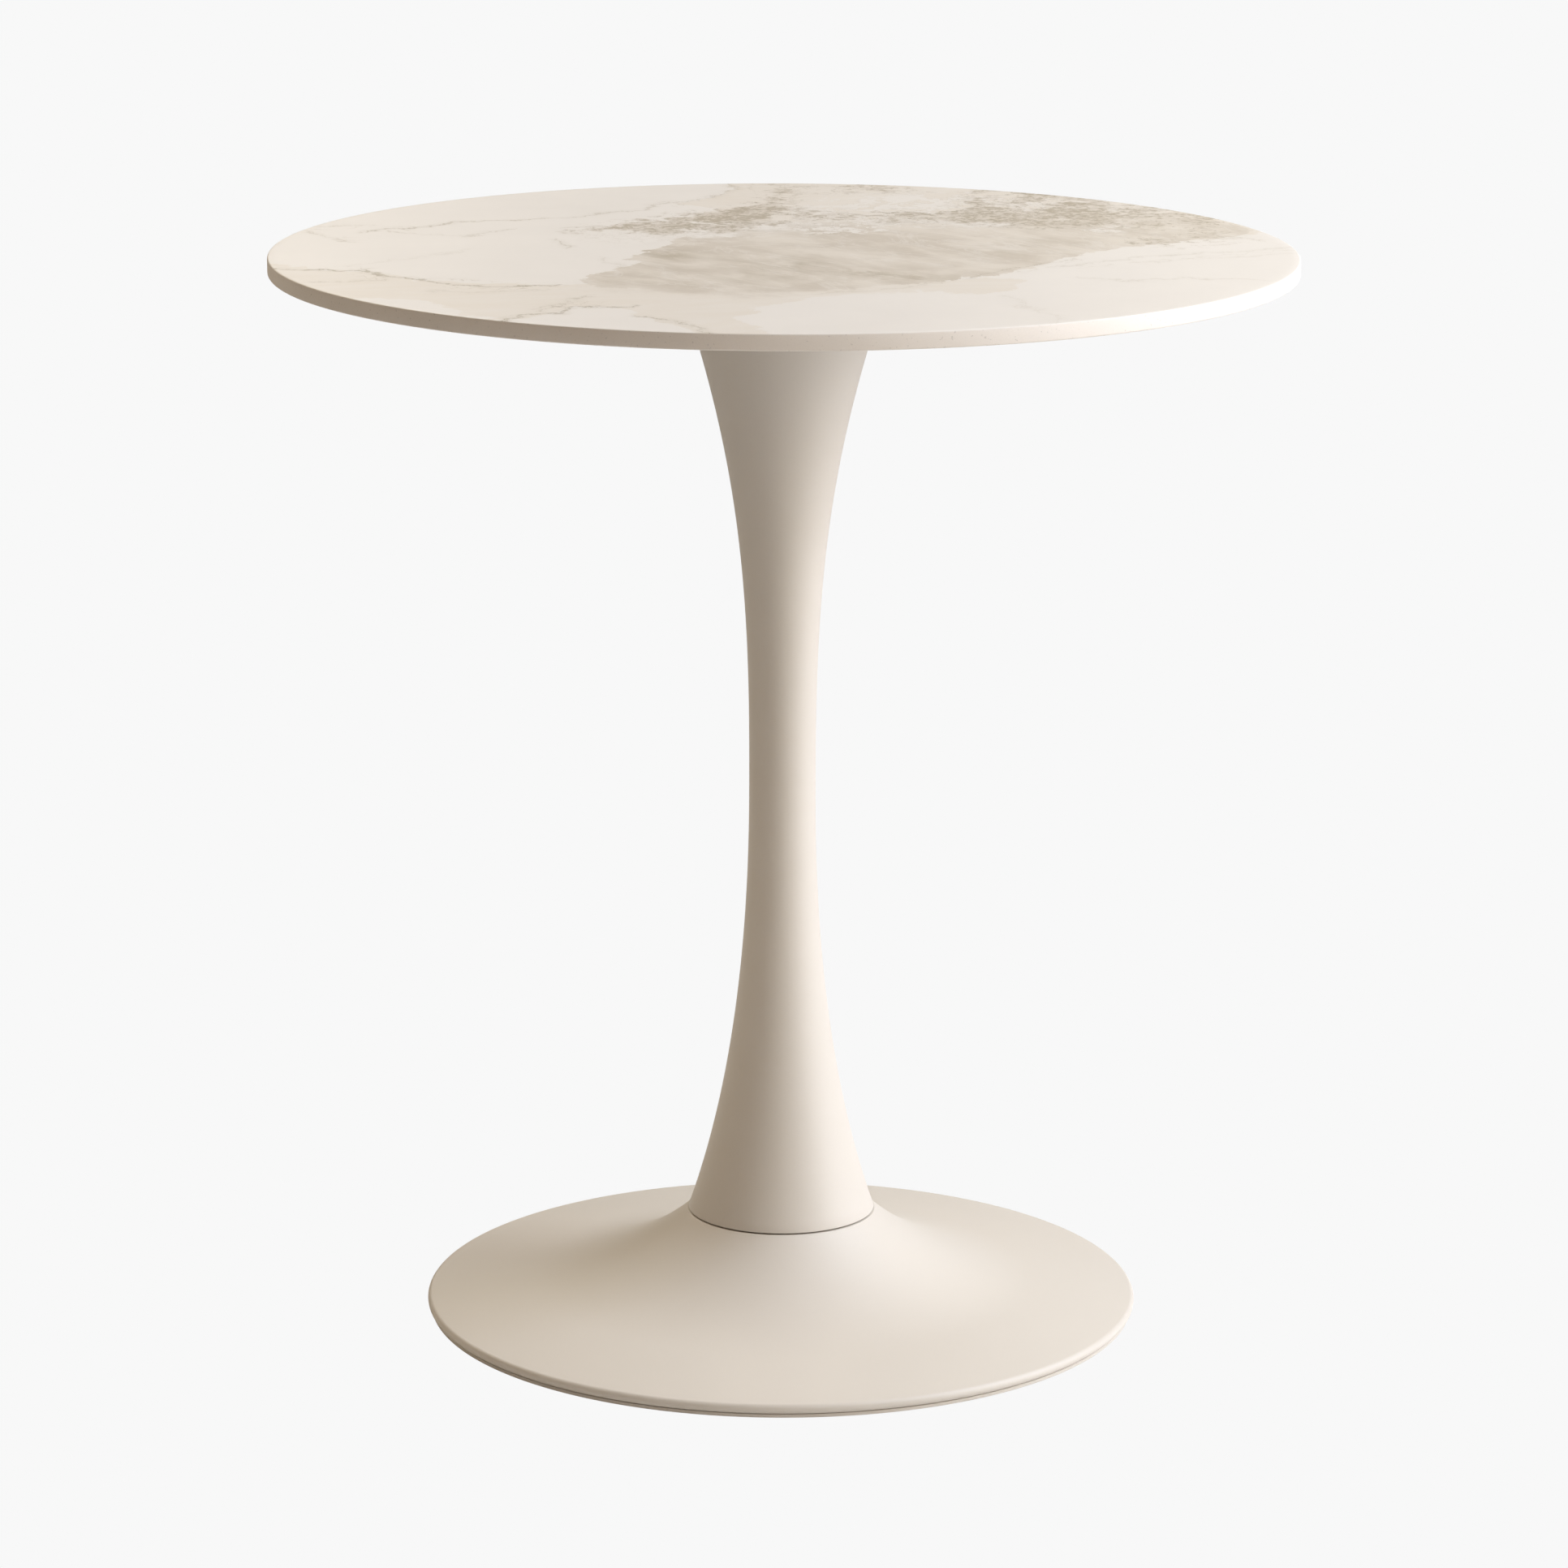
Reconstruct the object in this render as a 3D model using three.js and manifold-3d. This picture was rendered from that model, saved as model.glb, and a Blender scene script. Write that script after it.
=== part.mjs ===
// Round pedestal table: a stone top on a flared steel column and a domed steel base.
// Millimetres, +Z up. The origin is on the floor under the middle of the table.
// Every piece is a separate closed solid; faces that touch keep a gap of SEAT.

import * as THREE from 'three';
import { mergeVertices } from 'three/addons/utils/BufferGeometryUtils.js';
import Module from 'manifold-3d';

const wasm = await Module();
wasm.setup();

// ---------------------------------------------------------------- driving sizes

// Overall
const TABLE_HEIGHT = 750;
const TOP_DIAMETER = 700;
const BASE_DIAMETER = 500;

// Fits
const SEAT = 0.3; // gap between two faces that rest on each other
const SLIP = 0.3; // radial gap round a pin, a screw or a spigot
const PASS = 0.6; // radial gap where a screw only passes through
const OVERSHOOT = 1; // how far a cutting tool runs past the face that it cuts

// Stone top
const TOP_THICKNESS = 11;
const TOP_CHAMFER = 0.8;

// Top plate under the stone, and what holds the stone to it
const TOP_PLATE_DIAMETER = 300;
const TOP_PLATE_THICKNESS = 5;
const TOP_PLATE_CHAMFER = 0.8;
const CUSHION_THICKNESS = 1.5;
const CUSHION_DIAMETER = 22;
const TOP_SCREW_COUNT = 6;
const TOP_SCREW_EDGE = 25; // from a screw's axis to the plate's edge
const TOP_SCREW_END_ROOM = 0.4; // from a screw's tip to the insert's closed end
const INSERT_DIAMETER = 9.7;
const INSERT_CLOSED_END = 0.6;
const INSERT_COVER = 4; // stone left above an insert

// Column: two flares that meet at a slim waist
const COLUMN_WALL = 2;
const WAIST_DIAMETER = 46.2;
const WAIST_HEIGHT = 394;
const COLUMN_TOP_DIAMETER = 144.8;
const COLUMN_BOTTOM_DIAMETER = 130.8;
const SHADOW_GAP = 1; // open line between the column and the base cover

// Ends inside the column
const COLUMN_HEAD_THICKNESS = 8;
const COLUMN_HEAD_BOSS_DIAMETER = 34;
const COLUMN_HEAD_BOSS_LENGTH = 25;
const HEAD_SCREW_COUNT = 4;
const HEAD_SCREW_CIRCLE = 80;
const COLUMN_FOOT_THICKNESS = 8;

// Base cover: a spun dish with a steep neck, a wide sweep and a rolled rim
const COVER_WALL = 2;
const NECK_HEIGHT = 71;
const NECK_STEP = 0.6; // how far the neck stands out past the column
const NECK_SLOPE = THREE.MathUtils.degToRad(42);
const SKIRT_SLOPE = THREE.MathUtils.degToRad(6.8);
const RIM_RADIUS = 3.5;
const RIM_LIP = 4;
const COVER_FLANGE_WIDTH = 22; // the flat ring from the neck in to the opening

// Base plate and ballast
const PLATE_CLEARANCE = 2; // height of the base plate above the floor
const PLATE_THICKNESS = 2.5;
const PLATE_INSET = 2.5; // how far the plate's edge stands inside the rim
const BALLAST_THICKNESS = 12;
const BALLAST_CHAMFER = 1;
const BALLAST_HEADROOM = 1; // least room between the ballast and the cover
const PLATE_SCREW_SETBACK = 2; // from a plate screw's tip to the ballast's top

// Hub that carries the cover and the column
const HUB_TUBE_DIAMETER = 78;
const HUB_WALL = 4;
const HUB_FLANGE_DIAMETER = 170;
const HUB_FLANGE_THICKNESS = 6;
const HUB_TOP_THICKNESS = 8;
const HUB_EDGE_GAP = 3.2; // between the hub's top disc and the cover round it
const SPIGOT_HEIGHT = 5;
const HUB_BOLT_COUNT = 4;
const HUB_BOLT_EDGE = 15; // from a bolt's axis to the flange's edge
const HUB_BOLT_SETBACK = 1; // from a bolt's tip to the ballast's underside

// Tie rod and its fittings
const ROD_DIAMETER = 12;
const ROD_TAIL = 5; // thread left showing below the nut
const ROD_NUT_ACROSS_FLATS = 18;
const ROD_NUT_HEIGHT = 10.8;
const ROD_WASHER_DIAMETER = 37;
const ROD_WASHER_THICKNESS = 3;
const SPRING_WASHER_DIAMETER = 21;
const SPRING_WASHER_THICKNESS = 3;
const SPRING_WASHER_SPLIT = 2.5;
const PIN_DIAMETER = 6;
const PIN_LENGTH = 15;
const PIN_SEAT = 1; // hub metal left under the pin

// Levelling glides
const GLIDE_COUNT = 4;
const GLIDE_EDGE_MARGIN = 15; // from the glide's axis to the ballast's edge
const GLIDE_PAD_DIAMETER = 28;
const GLIDE_PAD_FLOOR = 1.2;
const GLIDE_PAD_CHAMFER = 0.8;
const GLIDE_RECESS_GAP = 2;
const GLIDE_KEY_DIAMETER = 7;
const GLIDE_HEAD_DIAMETER = 14;
const GLIDE_HEAD_THICKNESS = 1.6;
const GLIDE_SOCKET_DEPTH = 4.6;
const GLIDE_STUD_HEADROOM = 1.2;

// Threaded fasteners: nominal thread and head sizes
const M5 = { thread: 5, headDiameter: 9.2, headHeight: 2.2, socket: 3, socketDepth: 1.5 };
const M6 = { thread: 6, headDiameter: 10.5, headHeight: 3.3, socket: 4, socketDepth: 2.1 };
const M8 = { thread: 8, headDiameter: 15, headHeight: 4.3, socket: 5, socketDepth: 3 };
const M8_HEX = { thread: 8, acrossFlats: 13, headHeight: 5.3 };
const BUTTON_FLAT_DIAMETER = 6.3; // flat middle of a round screw head
const BUTTON_RIM = 0.8; // upright edge of a round screw head
const FLAT_HEAD_LAND = 0.3; // upright edge of a countersunk head
const SCREW_TIP_CHAMFER = 0.6;
const STUD_TIP_CHAMFER = 0.8;

// Facets round one turn
const TURN_LARGE = 64;
const TURN_COVER = 48;
const TURN_COLUMN = 36;
const TURN_MEDIUM = 28;
const TURN_SMALL = 14;
const TURN_SCREW = 10;

// Straight steps along one curve
const FLARE_STEPS = 9;
const SWEEP_STEPS = 6;
const RIM_STEPS = 5;
const RIM_INSIDE_STEPS = 3;

// ---------------------------------------------------------------- heights that follow

const plateBottom = PLATE_CLEARANCE;
const plateTop = plateBottom + PLATE_THICKNESS;
const ballastBottom = plateTop + SEAT;
const ballastTop = ballastBottom + BALLAST_THICKNESS;
const hubBottom = ballastTop + SEAT;
const flangeBottom = NECK_HEIGHT - COVER_WALL; // underside of the cover's top flange
const hubTop = flangeBottom - SEAT;
const footBottom = NECK_HEIGHT + SEAT;
const footTop = footBottom + COLUMN_FOOT_THICKNESS;
const columnBottom = NECK_HEIGHT + SHADOW_GAP;
const padHeight = plateTop; // a glide's pad is as high as the base plate's top

const stoneBottom = TABLE_HEIGHT - TOP_THICKNESS;
const cushionBottom = stoneBottom - SEAT - CUSHION_THICKNESS;
const topPlateTop = cushionBottom - SEAT;
const topPlateBottom = topPlateTop - TOP_PLATE_THICKNESS;
const columnTop = topPlateBottom - SEAT;
const headBottom = columnTop - COLUMN_HEAD_THICKNESS;
const bossBottom = headBottom - COLUMN_HEAD_BOSS_LENGTH;

const washerTop = hubTop - HUB_TOP_THICKNESS - SEAT;
const springWasherTop = washerTop - ROD_WASHER_THICKNESS - SEAT;
const nutTop = springWasherTop - SPRING_WASHER_THICKNESS - SEAT;
const nutBottom = nutTop - ROD_NUT_HEIGHT;
const rodBottom = nutBottom - ROD_TAIL;
const rodTop = columnTop - 2 * SEAT;

// ---------------------------------------------------------------- diameters that follow

const topScrewCircle = TOP_PLATE_DIAMETER - 2 * TOP_SCREW_EDGE;
const neckDiameter = COLUMN_BOTTOM_DIAMETER + 2 * NECK_STEP;
const coverOpening = neckDiameter - 2 * COVER_FLANGE_WIDTH;
const hubBoltCircle = HUB_FLANGE_DIAMETER - 2 * HUB_BOLT_EDGE;
const hubInside = HUB_TUBE_DIAMETER - 2 * HUB_WALL;
const accessDiameter = hubInside; // the tie nut is reached through the plate and the ballast

// ---------------------------------------------------------------- finishes

const finish = (color, roughness, metalness) => ({ color, roughness, metalness });
const STONE = finish(0xd9d2c8, 0.45, 0);
const POWDER_COAT = finish(0xcdc1b4, 0.55, 0.1);
const PLATE_BLACK = finish(0x2b2a29, 0.6, 0.2);
const BALLAST_IRON = finish(0x3a3836, 0.75, 0.4);
const STEEL = finish(0x9a9c9e, 0.4, 0.9);
const ZINC = finish(0xb9bcc0, 0.35, 0.9);
const BRASS = finish(0xb8924a, 0.35, 0.9);
const RUBBER = finish(0x1d1c1b, 0.85, 0);
const NYLON = finish(0x242424, 0.6, 0);

// ---------------------------------------------------------------- solids

// A closed mesh becomes a solid: only positions are kept and shared corners are joined.
function toSolid(geometry) {
  const bare = geometry.clone();
  bare.deleteAttribute('normal');
  bare.deleteAttribute('uv');
  const merged = mergeVertices(bare);
  const index = merged.index.array;
  const kept = [];
  for (let i = 0; i < index.length; i += 3) {
    const [a, b, c] = [index[i], index[i + 1], index[i + 2]];
    if (a !== b && b !== c && c !== a) kept.push(a, b, c);
  }
  return new wasm.Manifold(new wasm.Mesh({
    numProp: 3,
    vertProperties: new Float32Array(merged.attributes.position.array),
    triVerts: new Uint32Array(kept),
  }));
}

// The mesh of a solid, ready for the scene graph.
function toGeometry(solid) {
  const mesh = solid.getMesh();
  const geometry = new THREE.BufferGeometry();
  geometry.setAttribute('position', new THREE.BufferAttribute(mesh.vertProperties, 3));
  geometry.setIndex(new THREE.BufferAttribute(mesh.triVerts, 1));
  geometry.computeVertexNormals();
  return geometry;
}

// Turns an outline of [radius, height] points about the Z axis.
function revolve(outline, segments) {
  const points = outline.map(([r, z]) => new THREE.Vector2(r, z));
  if (THREE.ShapeUtils.area(points) < 0) points.reverse();
  points.push(points[0].clone());
  return toSolid(new THREE.LatheGeometry(points, segments).rotateX(Math.PI / 2));
}

// A round bar or a hole-cutting tool from one height to another.
function bar(diameter, from, to, segments) {
  const r = diameter / 2;
  return revolve([[0, from], [r, from], [r, to], [0, to]], segments);
}

// A flat ring with both outer edges chamfered.
function ring(outerDiameter, innerDiameter, from, to, chamfer, segments) {
  const [outer, inner] = [outerDiameter / 2, innerDiameter / 2];
  return revolve([
    [inner, from], [outer - chamfer, from], [outer, from + chamfer],
    [outer, to - chamfer], [outer - chamfer, to], [inner, to],
  ], segments);
}

// A six-sided bar, sized across its flats.
function hexBar(acrossFlats, from, to) {
  return bar(acrossFlats / Math.cos(Math.PI / 6), from, to, 6);
}

// Points on an arc in the radius-height plane, both ends included.
function arc(centreR, centreZ, radius, from, to, steps) {
  const points = [];
  for (let i = 0; i <= steps; i += 1) {
    const angle = from + (to - from) * i / steps;
    points.push([centreR + radius * Math.cos(angle), centreZ + radius * Math.sin(angle)]);
  }
  return points;
}

// Angles of evenly spaced places round the axis.
function around(count, start = 0) {
  return Array.from({ length: count }, (_, i) => start + i * 2 * Math.PI / count);
}

// Cuts the same tool at several places on a circle.
function cutAround(solid, tool, circleDiameter, angles) {
  return angles.reduce((left, angle) => {
    const x = circleDiameter / 2 * Math.cos(angle);
    const y = circleDiameter / 2 * Math.sin(angle);
    return left.subtract(tool.translate([x, y, 0]));
  }, solid);
}

// Finds where a steadily changing function reaches a value.
function solve(value, target, low, high) {
  const rising = value(high) > value(low);
  for (let i = 0; i < 50; i += 1) {
    const middle = (low + high) / 2;
    if ((value(middle) < target) === rising) low = middle;
    else high = middle;
  }
  return low;
}

const model = new THREE.Group();

// Adds one named piece to the table.
function add(name, solid, look) {
  const mesh = new THREE.Mesh(toGeometry(solid), new THREE.MeshStandardMaterial(look));
  mesh.name = name;
  model.add(mesh);
  return mesh;
}

// Adds a piece, drawn on the axis, at one place on a circle.
function addAt(name, solid, look, circleDiameter, angle) {
  const mesh = add(name, solid, look);
  mesh.position.x = circleDiameter / 2 * Math.cos(angle);
  mesh.position.y = circleDiameter / 2 * Math.sin(angle);
  mesh.rotation.z = angle;
}

// Adds numbered copies of a piece at several places on a circle.
function addAround(name, solid, look, circleDiameter, angles) {
  angles.forEach((angle, i) => addAt(`${name}_${i + 1}`, solid, look, circleDiameter, angle));
}

// ---------------------------------------------------------------- fasteners

// Screw with a round low head; the head hangs down from headTop, the shank goes up to tip.
function buttonScrew(size, headTop, tip) {
  const shank = size.thread / 2 - SLIP;
  const head = size.headDiameter / 2;
  const bottom = headTop - size.headHeight;
  const chamfer = SCREW_TIP_CHAMFER;
  const screw = revolve([
    [0, bottom], [BUTTON_FLAT_DIAMETER / 2, bottom], [head, headTop - BUTTON_RIM], [head, headTop],
    [shank, headTop], [shank, tip - chamfer], [shank - chamfer, tip], [0, tip],
  ], TURN_SCREW);
  return screw.subtract(hexBar(size.socket, bottom - OVERSHOOT, bottom + size.socketDepth));
}

// Countersunk screw drawn with its flat face at 0 and its shank along +Z.
function flatScrew(size, length) {
  const shank = size.thread / 2 - SLIP;
  const head = size.headDiameter / 2;
  const chamfer = SCREW_TIP_CHAMFER;
  const screw = revolve([
    [0, 0], [head, 0], [head, FLAT_HEAD_LAND], [shank, size.headHeight],
    [shank, length - chamfer], [shank - chamfer, length], [0, length],
  ], TURN_SCREW);
  return screw.subtract(hexBar(size.socket, -OVERSHOOT, size.socketDepth));
}

// The hole that a countersunk screw sits in, drawn the same way, through a plate.
function flatScrewHole(size, thickness) {
  const shank = size.thread / 2 + PASS;
  const head = size.headDiameter / 2 + PASS;
  return revolve([
    [0, -OVERSHOOT], [head, -OVERSHOOT], [head, FLAT_HEAD_LAND + SEAT], [shank, size.headHeight + SEAT],
    [shank, thickness + OVERSHOOT], [0, thickness + OVERSHOOT],
  ], TURN_SCREW);
}

// Hexagon-head bolt; the head stands up from headBottom, the shank goes down to tip.
function hexBolt(size, headBottomZ, tip) {
  const shank = size.thread / 2 - SLIP;
  const head = hexBar(size.acrossFlats, headBottomZ, headBottomZ + size.headHeight);
  return head.add(bar(2 * shank, tip, headBottomZ + OVERSHOOT, TURN_SCREW));
}

// ---------------------------------------------------------------- column outline

// Each flare is a cubic curve from the waist to one end of the column. Its control points
// say how far it has opened out and how far along it is, as shares of the whole flare.
const topFlare = {
  endZ: columnTop,
  endDiameter: COLUMN_TOP_DIAMETER,
  along: [0, 0.394, 0.645, 1],
  opening: [0, 0, 0.189, 1],
};
const bottomFlare = {
  endZ: columnBottom,
  endDiameter: COLUMN_BOTTOM_DIAMETER,
  along: [0, 0.16, 0.61, 1],
  opening: [0, 0, -0.04, 1],
};

function bezier(values, t) {
  const s = 1 - t;
  return s ** 3 * values[0] + 3 * s * s * t * values[1] + 3 * s * t * t * values[2] + t ** 3 * values[3];
}

// Outer radius, height and slope (radius per height) at share t of a flare.
function flarePoint(flare, t) {
  const opening = (flare.endDiameter - WAIST_DIAMETER) / 2;
  const at = (s) => [
    WAIST_DIAMETER / 2 + opening * bezier(flare.opening, s),
    WAIST_HEIGHT + (flare.endZ - WAIST_HEIGHT) * bezier(flare.along, s),
  ];
  const [r, z] = at(t);
  const [before, after] = [at(t - 1e-4), at(t + 1e-4)];
  const slope = (after[0] - before[0]) / (after[1] - before[1]);
  return { r, z, slope };
}

// The inner wall stands one wall thickness inside the outer one, square to it.
const innerRadius = ({ r, slope }) => r - COLUMN_WALL * Math.hypot(1, slope);

// Inner radius of the column at a height on one of its flares.
function columnInnerRadiusAt(flare, z) {
  const t = solve((s) => flarePoint(flare, s).z, z, 0, 1);
  return innerRadius(flarePoint(flare, t));
}

// ---------------------------------------------------------------- base cover outline

const rimCentreR = BASE_DIAMETER / 2 - RIM_RADIUS;
const rimCentreZ = plateTop + SEAT + RIM_RADIUS;

// The skirt is a straight cone that runs into the rolled rim.
const skirtEndR = rimCentreR + RIM_RADIUS * Math.sin(SKIRT_SLOPE);
const skirtEndZ = rimCentreZ + RIM_RADIUS * Math.cos(SKIRT_SLOPE);

// The sweep is the arc that leaves the neck at its slope and ends on the skirt's line.
const sweepRun = Math.sin(NECK_SLOPE) - Math.sin(SKIRT_SLOPE);
const sweepFall = Math.cos(SKIRT_SLOPE) - Math.cos(NECK_SLOPE);
const skirtLineFall = Math.tan(SKIRT_SLOPE) * (skirtEndR - neckDiameter / 2);
const sweepRadius = (NECK_HEIGHT - skirtEndZ - skirtLineFall)
  / (sweepFall - Math.tan(SKIRT_SLOPE) * sweepRun);
const sweepCentreR = neckDiameter / 2 + sweepRadius * Math.sin(NECK_SLOPE);
const sweepCentreZ = NECK_HEIGHT + sweepRadius * Math.cos(NECK_SLOPE);
const sweepEndR = sweepCentreR - sweepRadius * Math.sin(SKIRT_SLOPE);
const innerSweepRadius = sweepRadius + COVER_WALL;

// Height of the cover's underside at a radius outside the neck.
function coverUndersideAt(r) {
  if (r < sweepEndR) {
    return sweepCentreZ - Math.sqrt(innerSweepRadius ** 2 - (sweepCentreR - r) ** 2);
  }
  const wallHeight = COVER_WALL / Math.cos(SKIRT_SLOPE);
  return skirtEndZ + (skirtEndR - r) * Math.tan(SKIRT_SLOPE) - wallHeight;
}

// The hub's top disc fills the neck, and the pin stands in the middle of its open ring.
const innerSweepStart = Math.acos((sweepCentreZ - flangeBottom) / innerSweepRadius);
const hubTopRadius = sweepCentreR - innerSweepRadius * Math.sin(innerSweepStart) - HUB_EDGE_GAP;
const pinCircle = coverOpening / 2 + hubTopRadius;

// The ballast reaches out to where the cover comes down over it.
const ballastRadius = solve(
  coverUndersideAt, ballastTop + BALLAST_HEADROOM, HUB_FLANGE_DIAMETER / 2, skirtEndR);
const edgeCircle = 2 * (ballastRadius - GLIDE_EDGE_MARGIN);
const glideAngles = around(GLIDE_COUNT, Math.PI / GLIDE_COUNT);
const plateScrewAngles = around(GLIDE_COUNT);

// ---------------------------------------------------------------- stone top

const topScrewAngles = around(TOP_SCREW_COUNT, Math.PI / TOP_SCREW_COUNT);
const insertTop = TABLE_HEIGHT - INSERT_COVER;
const topScrewTip = insertTop - INSERT_CLOSED_END - TOP_SCREW_END_ROOM;

function tabletop() {
  const r = TOP_DIAMETER / 2;
  const slab = revolve([
    [0, stoneBottom], [r - TOP_CHAMFER, stoneBottom], [r, stoneBottom + TOP_CHAMFER],
    [r, TABLE_HEIGHT - TOP_CHAMFER], [r - TOP_CHAMFER, TABLE_HEIGHT], [0, TABLE_HEIGHT],
  ], TURN_LARGE);
  const pocket = bar(INSERT_DIAMETER + 2 * SLIP, stoneBottom - OVERSHOOT, insertTop + SEAT, TURN_SMALL);
  return cutAround(slab, pocket, topScrewCircle, topScrewAngles);
}

function threadedInsert() {
  const sleeve = bar(INSERT_DIAMETER, stoneBottom, insertTop, TURN_SMALL);
  const tapped = bar(M6.thread, stoneBottom - OVERSHOOT, insertTop - INSERT_CLOSED_END, TURN_SCREW);
  return sleeve.subtract(tapped);
}

function topPlate() {
  const chamfer = TOP_PLATE_CHAMFER;
  const r = TOP_PLATE_DIAMETER / 2;
  const disc = revolve([
    [0, topPlateBottom], [r - chamfer, topPlateBottom], [r, topPlateBottom + chamfer],
    [r, topPlateTop - chamfer], [r - chamfer, topPlateTop], [0, topPlateTop],
  ], TURN_LARGE);
  const passing = bar(M6.thread + 2 * PASS, topPlateBottom - OVERSHOOT, topPlateTop + OVERSHOOT,
    TURN_SCREW);
  const drilled = cutAround(disc, passing, topScrewCircle, topScrewAngles);
  const sunk = flatScrewHole(M8, TOP_PLATE_THICKNESS).rotate([180, 0, 0]).translate([0, 0, topPlateTop]);
  return cutAround(drilled, sunk, HEAD_SCREW_CIRCLE, around(HEAD_SCREW_COUNT));
}

function cushion() {
  const hole = M6.thread + 2 * PASS;
  return ring(CUSHION_DIAMETER, hole, cushionBottom, stoneBottom - SEAT, 0, TURN_SMALL);
}

add('tabletop', tabletop(), STONE);
addAround('threaded_insert', threadedInsert(), BRASS, topScrewCircle, topScrewAngles);
addAround('top_cushion', cushion(), RUBBER, topScrewCircle, topScrewAngles);
add('top_plate', topPlate(), PLATE_BLACK);
addAround('top_screw', buttonScrew(M6, topPlateBottom - SEAT, topScrewTip), ZINC,
  topScrewCircle, topScrewAngles);

// ---------------------------------------------------------------- column

function columnShell() {
  const outer = [];
  const inner = [];
  for (let i = -FLARE_STEPS; i <= FLARE_STEPS; i += 1) {
    const point = flarePoint(i < 0 ? bottomFlare : topFlare, Math.abs(i) / FLARE_STEPS);
    outer.push([point.r, point.z]);
    inner.push([innerRadius(point), point.z]);
  }
  return revolve([...outer, ...inner.reverse()], TURN_COLUMN);
}

function columnHead() {
  const edge = columnInnerRadiusAt(topFlare, headBottom) - SLIP;
  const boss = COLUMN_HEAD_BOSS_DIAMETER / 2;
  const body = revolve([
    [0, bossBottom], [boss, bossBottom], [boss, headBottom], [edge, headBottom],
    [edge, columnTop], [0, columnTop],
  ], TURN_MEDIUM);
  const bore = bar(ROD_DIAMETER, bossBottom - OVERSHOOT, columnTop + OVERSHOOT, TURN_SCREW);
  const bored = body.subtract(bore);
  const tapped = bar(M8.thread, headBottom - OVERSHOOT, columnTop + OVERSHOOT, TURN_SCREW);
  return cutAround(bored, tapped, HEAD_SCREW_CIRCLE, around(HEAD_SCREW_COUNT));
}

const spigotDiameter = coverOpening - 2 * SLIP;
const spigotTop = hubTop + SPIGOT_HEIGHT;
const pinBottom = hubTop - HUB_TOP_THICKNESS + PIN_SEAT;
const pinHole = bar(PIN_DIAMETER + 2 * SLIP, pinBottom - SEAT, pinBottom + PIN_LENGTH + SEAT, TURN_SCREW);

function columnFoot() {
  const edge = columnInnerRadiusAt(bottomFlare, footTop) - SLIP;
  const recess = coverOpening / 2;
  const rodHole = ROD_DIAMETER / 2 + PASS;
  const disc = revolve([
    [rodHole, spigotTop + SEAT], [recess, spigotTop + SEAT], [recess, footBottom],
    [edge, footBottom], [edge, footTop], [rodHole, footTop],
  ], TURN_MEDIUM);
  return cutAround(disc, pinHole, pinCircle, [0]);
}

add('column_shell', columnShell(), POWDER_COAT);
add('column_head', columnHead(), STEEL);
addAround('head_screw',
  flatScrew(M8, TOP_PLATE_THICKNESS + COLUMN_HEAD_THICKNESS).rotate([180, 0, 0])
    .translate([0, 0, topPlateTop]),
  ZINC, HEAD_SCREW_CIRCLE, around(HEAD_SCREW_COUNT));
add('column_foot', columnFoot(), STEEL);

// ---------------------------------------------------------------- tie rod

function springWasher() {
  const bore = ROD_DIAMETER + 2 * SLIP;
  const whole = ring(SPRING_WASHER_DIAMETER, bore, nutTop + SEAT, springWasherTop, 0, TURN_SMALL);
  const split = new THREE.BoxGeometry(
    SPRING_WASHER_DIAMETER, SPRING_WASHER_SPLIT, SPRING_WASHER_THICKNESS + 2 * OVERSHOOT);
  split.translate(SPRING_WASHER_DIAMETER / 2, 0, springWasherTop - SPRING_WASHER_THICKNESS / 2);
  return whole.subtract(toSolid(split));
}

const tieWasher = ring(ROD_WASHER_DIAMETER, ROD_DIAMETER + 2 * PASS,
  washerTop - ROD_WASHER_THICKNESS, washerTop, 0, TURN_SMALL);
const tieNut = hexBar(ROD_NUT_ACROSS_FLATS, nutBottom, nutTop)
  .subtract(bar(ROD_DIAMETER, nutBottom - OVERSHOOT, nutTop + OVERSHOOT, TURN_SCREW));

add('tie_rod', bar(ROD_DIAMETER - 2 * SLIP, rodBottom, rodTop, TURN_SCREW), ZINC);
add('tie_washer', tieWasher, ZINC);
add('spring_washer', springWasher(), ZINC);
add('tie_nut', tieNut, ZINC);

// ---------------------------------------------------------------- base

function baseCover() {
  const opening = coverOpening / 2;
  const upright = Math.PI / 2;
  const sweep = (radius, from, to) => arc(
    sweepCentreR, sweepCentreZ, radius, -upright - from, -upright - to, SWEEP_STEPS);
  const cover = revolve([
    [opening, NECK_HEIGHT],
    ...sweep(sweepRadius, NECK_SLOPE, SKIRT_SLOPE),
    ...arc(rimCentreR, rimCentreZ, RIM_RADIUS, upright - SKIRT_SLOPE, -upright,
      RIM_STEPS),
    [rimCentreR - RIM_LIP, rimCentreZ - RIM_RADIUS],
    [rimCentreR - RIM_LIP, rimCentreZ - RIM_RADIUS + COVER_WALL],
    ...arc(rimCentreR, rimCentreZ, RIM_RADIUS - COVER_WALL, -upright, upright - SKIRT_SLOPE,
      RIM_INSIDE_STEPS),
    ...sweep(innerSweepRadius, SKIRT_SLOPE, innerSweepStart),
    [opening, flangeBottom],
  ], TURN_COVER);
  return cutAround(cover, pinHole, pinCircle, [0]);
}

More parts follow.
